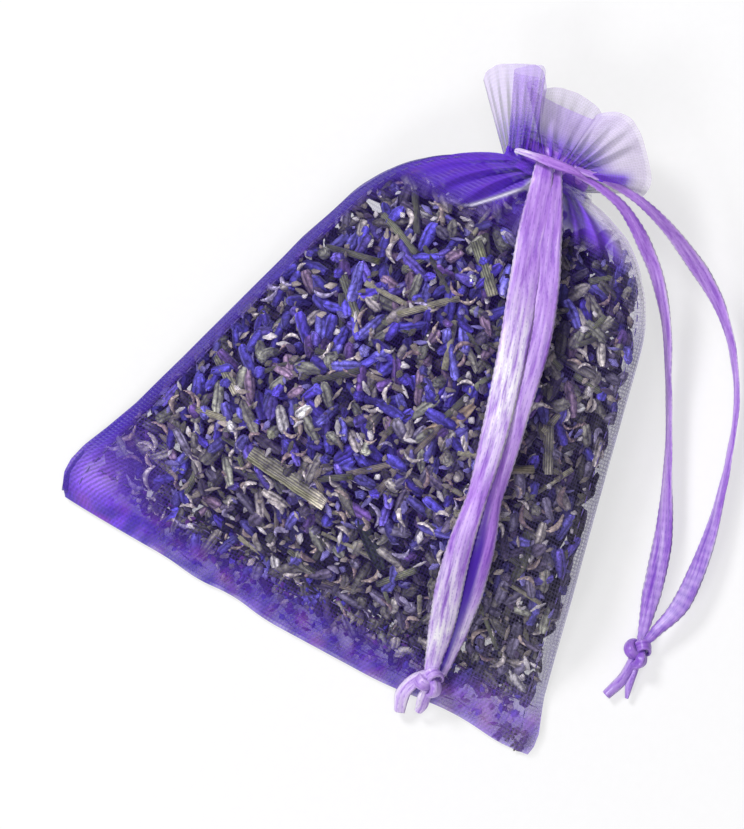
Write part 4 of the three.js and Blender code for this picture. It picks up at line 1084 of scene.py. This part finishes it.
frillPieces = {}
for name, side, seed in (("front_frill", 1, 111), ("back_frill", -1, 112)):
    s, t = np.meshgrid(np.linspace(0, 1, 321), np.linspace(0, 1, 41))
    edgeX, edgeY, edgeZ = softLine(frillEdges[name], s)
    rootX, rootY = softLine(frillRoots[name], s)
    inNeck = (rootX - bag["neckLean"]) / 5.8
    rootZ = bag["neckHeight"] + side * 3.1 * np.sqrt(np.clip(1 - inNeck**2, 0, 1))
    phase = fullTurn * frill["ruffles"] * s + 1.5 * ripples(s * 12, t * 2, 5, seed)
    depth = blendTo(frill["rootDepth"], frill["edgeDepth"], t**0.45)
    z = blendTo(rootZ, edgeZ, ease(t)) + side * frill["bulge"] * np.sin(np.pi * t) + depth * np.cos(phase)
    z = np.maximum(z, 0.6)
    # a ruffle's steep sides show more cloth, and the extra cover also stands in for shade on the folds
    cover = blendTo(0.62, 0.45, easeIn(t, 0.15, 0.6))
    cover = cover * (0.92 + 0.2 * (1 - 0.8 * t) * np.sin(phase) ** 2)
    rolled = np.zeros_like(t)
    if side > 0:
        # the folded lobe stays sheer, and the right end is rolled over the outer tail
        cover = cover * (1 - 0.22 * (1 - share(s, 0.4, 0.5)))
        rolled = easeIn(s, 0.91, 0.96) * (1 - easeIn(t, 0.55, 0.85))
        over = easeIn(s, 0.89, 0.95) * (1 - 0.5 * easeIn(s, 0.965, 1)) * easeIn(t, 0, 0.25) * (1 - 0.2 * t)
        z = z + frill["roll"] * over
    pale = np.interp(s, *frillPale[name]) * easeIn(t, 0.14, 0.65)
    cover = np.clip(np.maximum(cover, 0.85 * rolled) + 0.14 * pale, 0, 0.9)
    tint = tintMark("bright", ("lilac", easeIn(t, 0.22, 0.6)), ("pale", pale), ("bright", rolled))
    uv = np.stack([s, t], -1) * frill["flat"]
    x, y = blendTo(rootX, edgeX, t), blendTo(rootY, edgeY, t)
    frillPieces[name] = addSheet(name, x, y, z, uv, {"layers": cover, "tint": tint})
print("neck and frill made")


def neckRing(a, height, wide, deep):
    # an oval round the neck
    x, z = bag["neckLean"] + wide * np.cos(a), bag["neckHeight"] + deep * np.sin(a)
    return np.stack([x, height + 0 * a, z], -1)


# stitches: short tight bars of thread, a third of each hidden, along the three seams and round the casing
stitch = {"length": 0.9, "spacing": 1.5, "thickness": 0.13, "fromEnd": 0.8,
          "lowerRing": (57.3, 4.9, 3.9), "upperRing": (60.9, 4.9, 3.9)}
stitchRise = [-0.5, -0.3, 0, 0.3, 0.5]
stitchForm = ringForm(stitchRise, [0.35, 0.85, 1.0, 0.85, 0.35], np.ones(8))
stitchUv = ringUv(stitchRise, 8, 0.125, 1.5)
ringAngle = np.linspace(0, fullTurn, 240)
stitchLines = {**seamLines, "lower_casing_stitching": neckRing(ringAngle, *stitch["lowerRing"]),
               "upper_casing_stitching": neckRing(ringAngle, *stitch["upperRing"])}
stitchPieces = {}
for name, line in stitchLines.items():
    run = runOf(line)
    steps = np.arange(stitch["fromEnd"], run[-1] - stitch["fromEnd"], stitch["spacing"])
    along = unit(pointsAt(steps + 0.4, run, line) - pointsAt(steps - 0.4, run, line))
    sideways = unit(np.cross([0.02, 0.03, 1.0], along))
    size = np.array([[stitch["thickness"], stitch["thickness"], stitch["length"]]])
    points, faces = repeatForm(stitchForm, size, pointsAt(steps, run, line), bitAxes(along, sideways))
    stitchPieces[name] = addPiece("thread_" + name, points, faces, sewingThread, stitchUv)

# the two drawstrings where they run round the neck inside the casing
loops = {  # height, turn of the open side, seed
    "right_drawstring_loop": (58.3, 0, 121), "left_drawstring_loop": (59.6, np.pi, 122)}
loopPieces = {}
for name, (height, turn, seed) in loops.items():
    line = neckRing(turn + np.linspace(0.35, fullTurn - 0.35, 120), height, wide=4.3, deep=3.4)
    loopPieces[name] = addRibbon(
        name, {}, line, runOf(line), width=1.1, cup=0.1, crumple=0.04, seed=seed, columns=9,
        centre=(bag["neckLean"], height, bag["neckHeight"]))
print("stitches and drawstring loops made")

# what each piece stands for and moves with
onBag = {**rollPieces, **stitchPieces, **loopPieces, **casingPieces, **chipPieces, **leafPieces,
         "front_panel": frontPanel, "back_panel": backPanel, "bottom_seam_allowance": hemStrip,
         "back_frill": frillPieces["back_frill"], "lavender_bed": bedPiece}
for node, piece in onBag.items():
    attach(piece, "bag")
    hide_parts(node)
for piece in (budsFront, budsUnder, budsBack, crumbs, sticks, curlBits, hemDust):
    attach(piece, "bag")
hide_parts(*[f"bud_{k:02d}" for k in range(1, 21)])
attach(strandPieces["front_ribbon_exit"], "front_draw")
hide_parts("front_ribbon_exit")
knotsAndEnds = {**knotPieces, **endPieces}
for node, piece in knotsAndEnds.items():
    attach(piece, node.split("_")[0] + "_tails")
    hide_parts(node)
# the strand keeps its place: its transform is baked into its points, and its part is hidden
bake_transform(strandPieces["side_ribbon_strand"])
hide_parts("side_ribbon_strand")
# each tail keeps its place: its transform is baked into its points, and its part is hidden
for node, piece in tailPieces.items():
    end = node.split("_")[0]
    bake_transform(piece)
    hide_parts(node)
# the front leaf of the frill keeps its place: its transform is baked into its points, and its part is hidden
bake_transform(frillPieces["front_frill"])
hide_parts("front_frill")

# white table that glows where it is seen, so that shade on it is faint, and soft light from the upper left
table = {"half": 750, "white": "#fbfafc", "grain": "#f8f7f9", "grainScale": 900.0, "glow": 0.62}
tableMaterial, add = newMaterial("matt_white_table")
rays = add("LightPath")
seen = add("Math", larger, {0: (rays, "Is Camera Ray"), 1: (rays, "Is Glossy Ray")})
seen = add("Math", larger, {0: seen, 1: (rays, "Is Transmission Ray")})
part = add("Math", {**times, 1: table["glow"]}, {0: seen})
spot = (add("TexCoord"), "Object")
grain = add("TexNoise", {"Scale": table["grainScale"], "Detail": 2.0}, {"Vector": spot})
tone = add("ValToRGB", {}, {"Fac": (grain, "Fac")})
setRamp(tone, [(0.3, table["grain"]), (0.7, table["white"])])
matt = add("BsdfDiffuse", {}, {"Color": tone})
glow = add("Emission", {"Color": (1, 1, 1, 1), "Strength": 1.0})
add("OutputMaterial", {}, {"Surface": add("MixShader", {}, {0: part, 1: matt, 2: glow})})
corners = np.array([[-1, -1, 0], [1, -1, 0], [1, 1, 0], [-1, 1, 0]]) * table["half"]
addPiece("table_top", corners, [np.array([[0, 1, 2, 3]])], tableMaterial, smooth=False)

world = bpy.data.worlds.new("studio")
world.use_nodes = True
world.node_tree.nodes.clear()
bpy.context.scene.world = world
add = functools.partial(addNode, world.node_tree)
soft = add("Background", {"Color": linear("#f6f5ff"), "Strength": 0.16})
plain = add("Background", {"Color": (1, 1, 1, 1), "Strength": 1.0})
sky = add("MixShader", {}, {0: (add("LightPath"), "Is Camera Ray"), 1: soft, 2: plain})
add("OutputWorld", {}, {"Surface": sky})

# lamps: place in bag millimetres, size in metres, power in watts, all aimed at the middle of the bag
lamps = {"key": ((-420, 190, 480), 0.16, 3.0), "fill": ((330, -120, 420), 0.5, 0.25),
         "end": ((-60, -360, 420), 0.16, 1.1), "over": ((60, 130, 620), 0.2, 0.5)}
for name, (spot, size, power) in lamps.items():
    data = bpy.data.lights.new(name, "AREA")
    data.size = size
    data.energy = power
    lamp = bpy.data.objects.new(name, data)
    bpy.context.collection.objects.link(lamp)
    lamp.location = toFrame(spot)
    aim = toFrame([0, 32, 8]) - toFrame(spot)
    lamp.rotation_euler = (0, math.acos(-aim[2] / np.linalg.norm(aim)), math.atan2(-aim[1], -aim[0]))
print("table and lamps made")
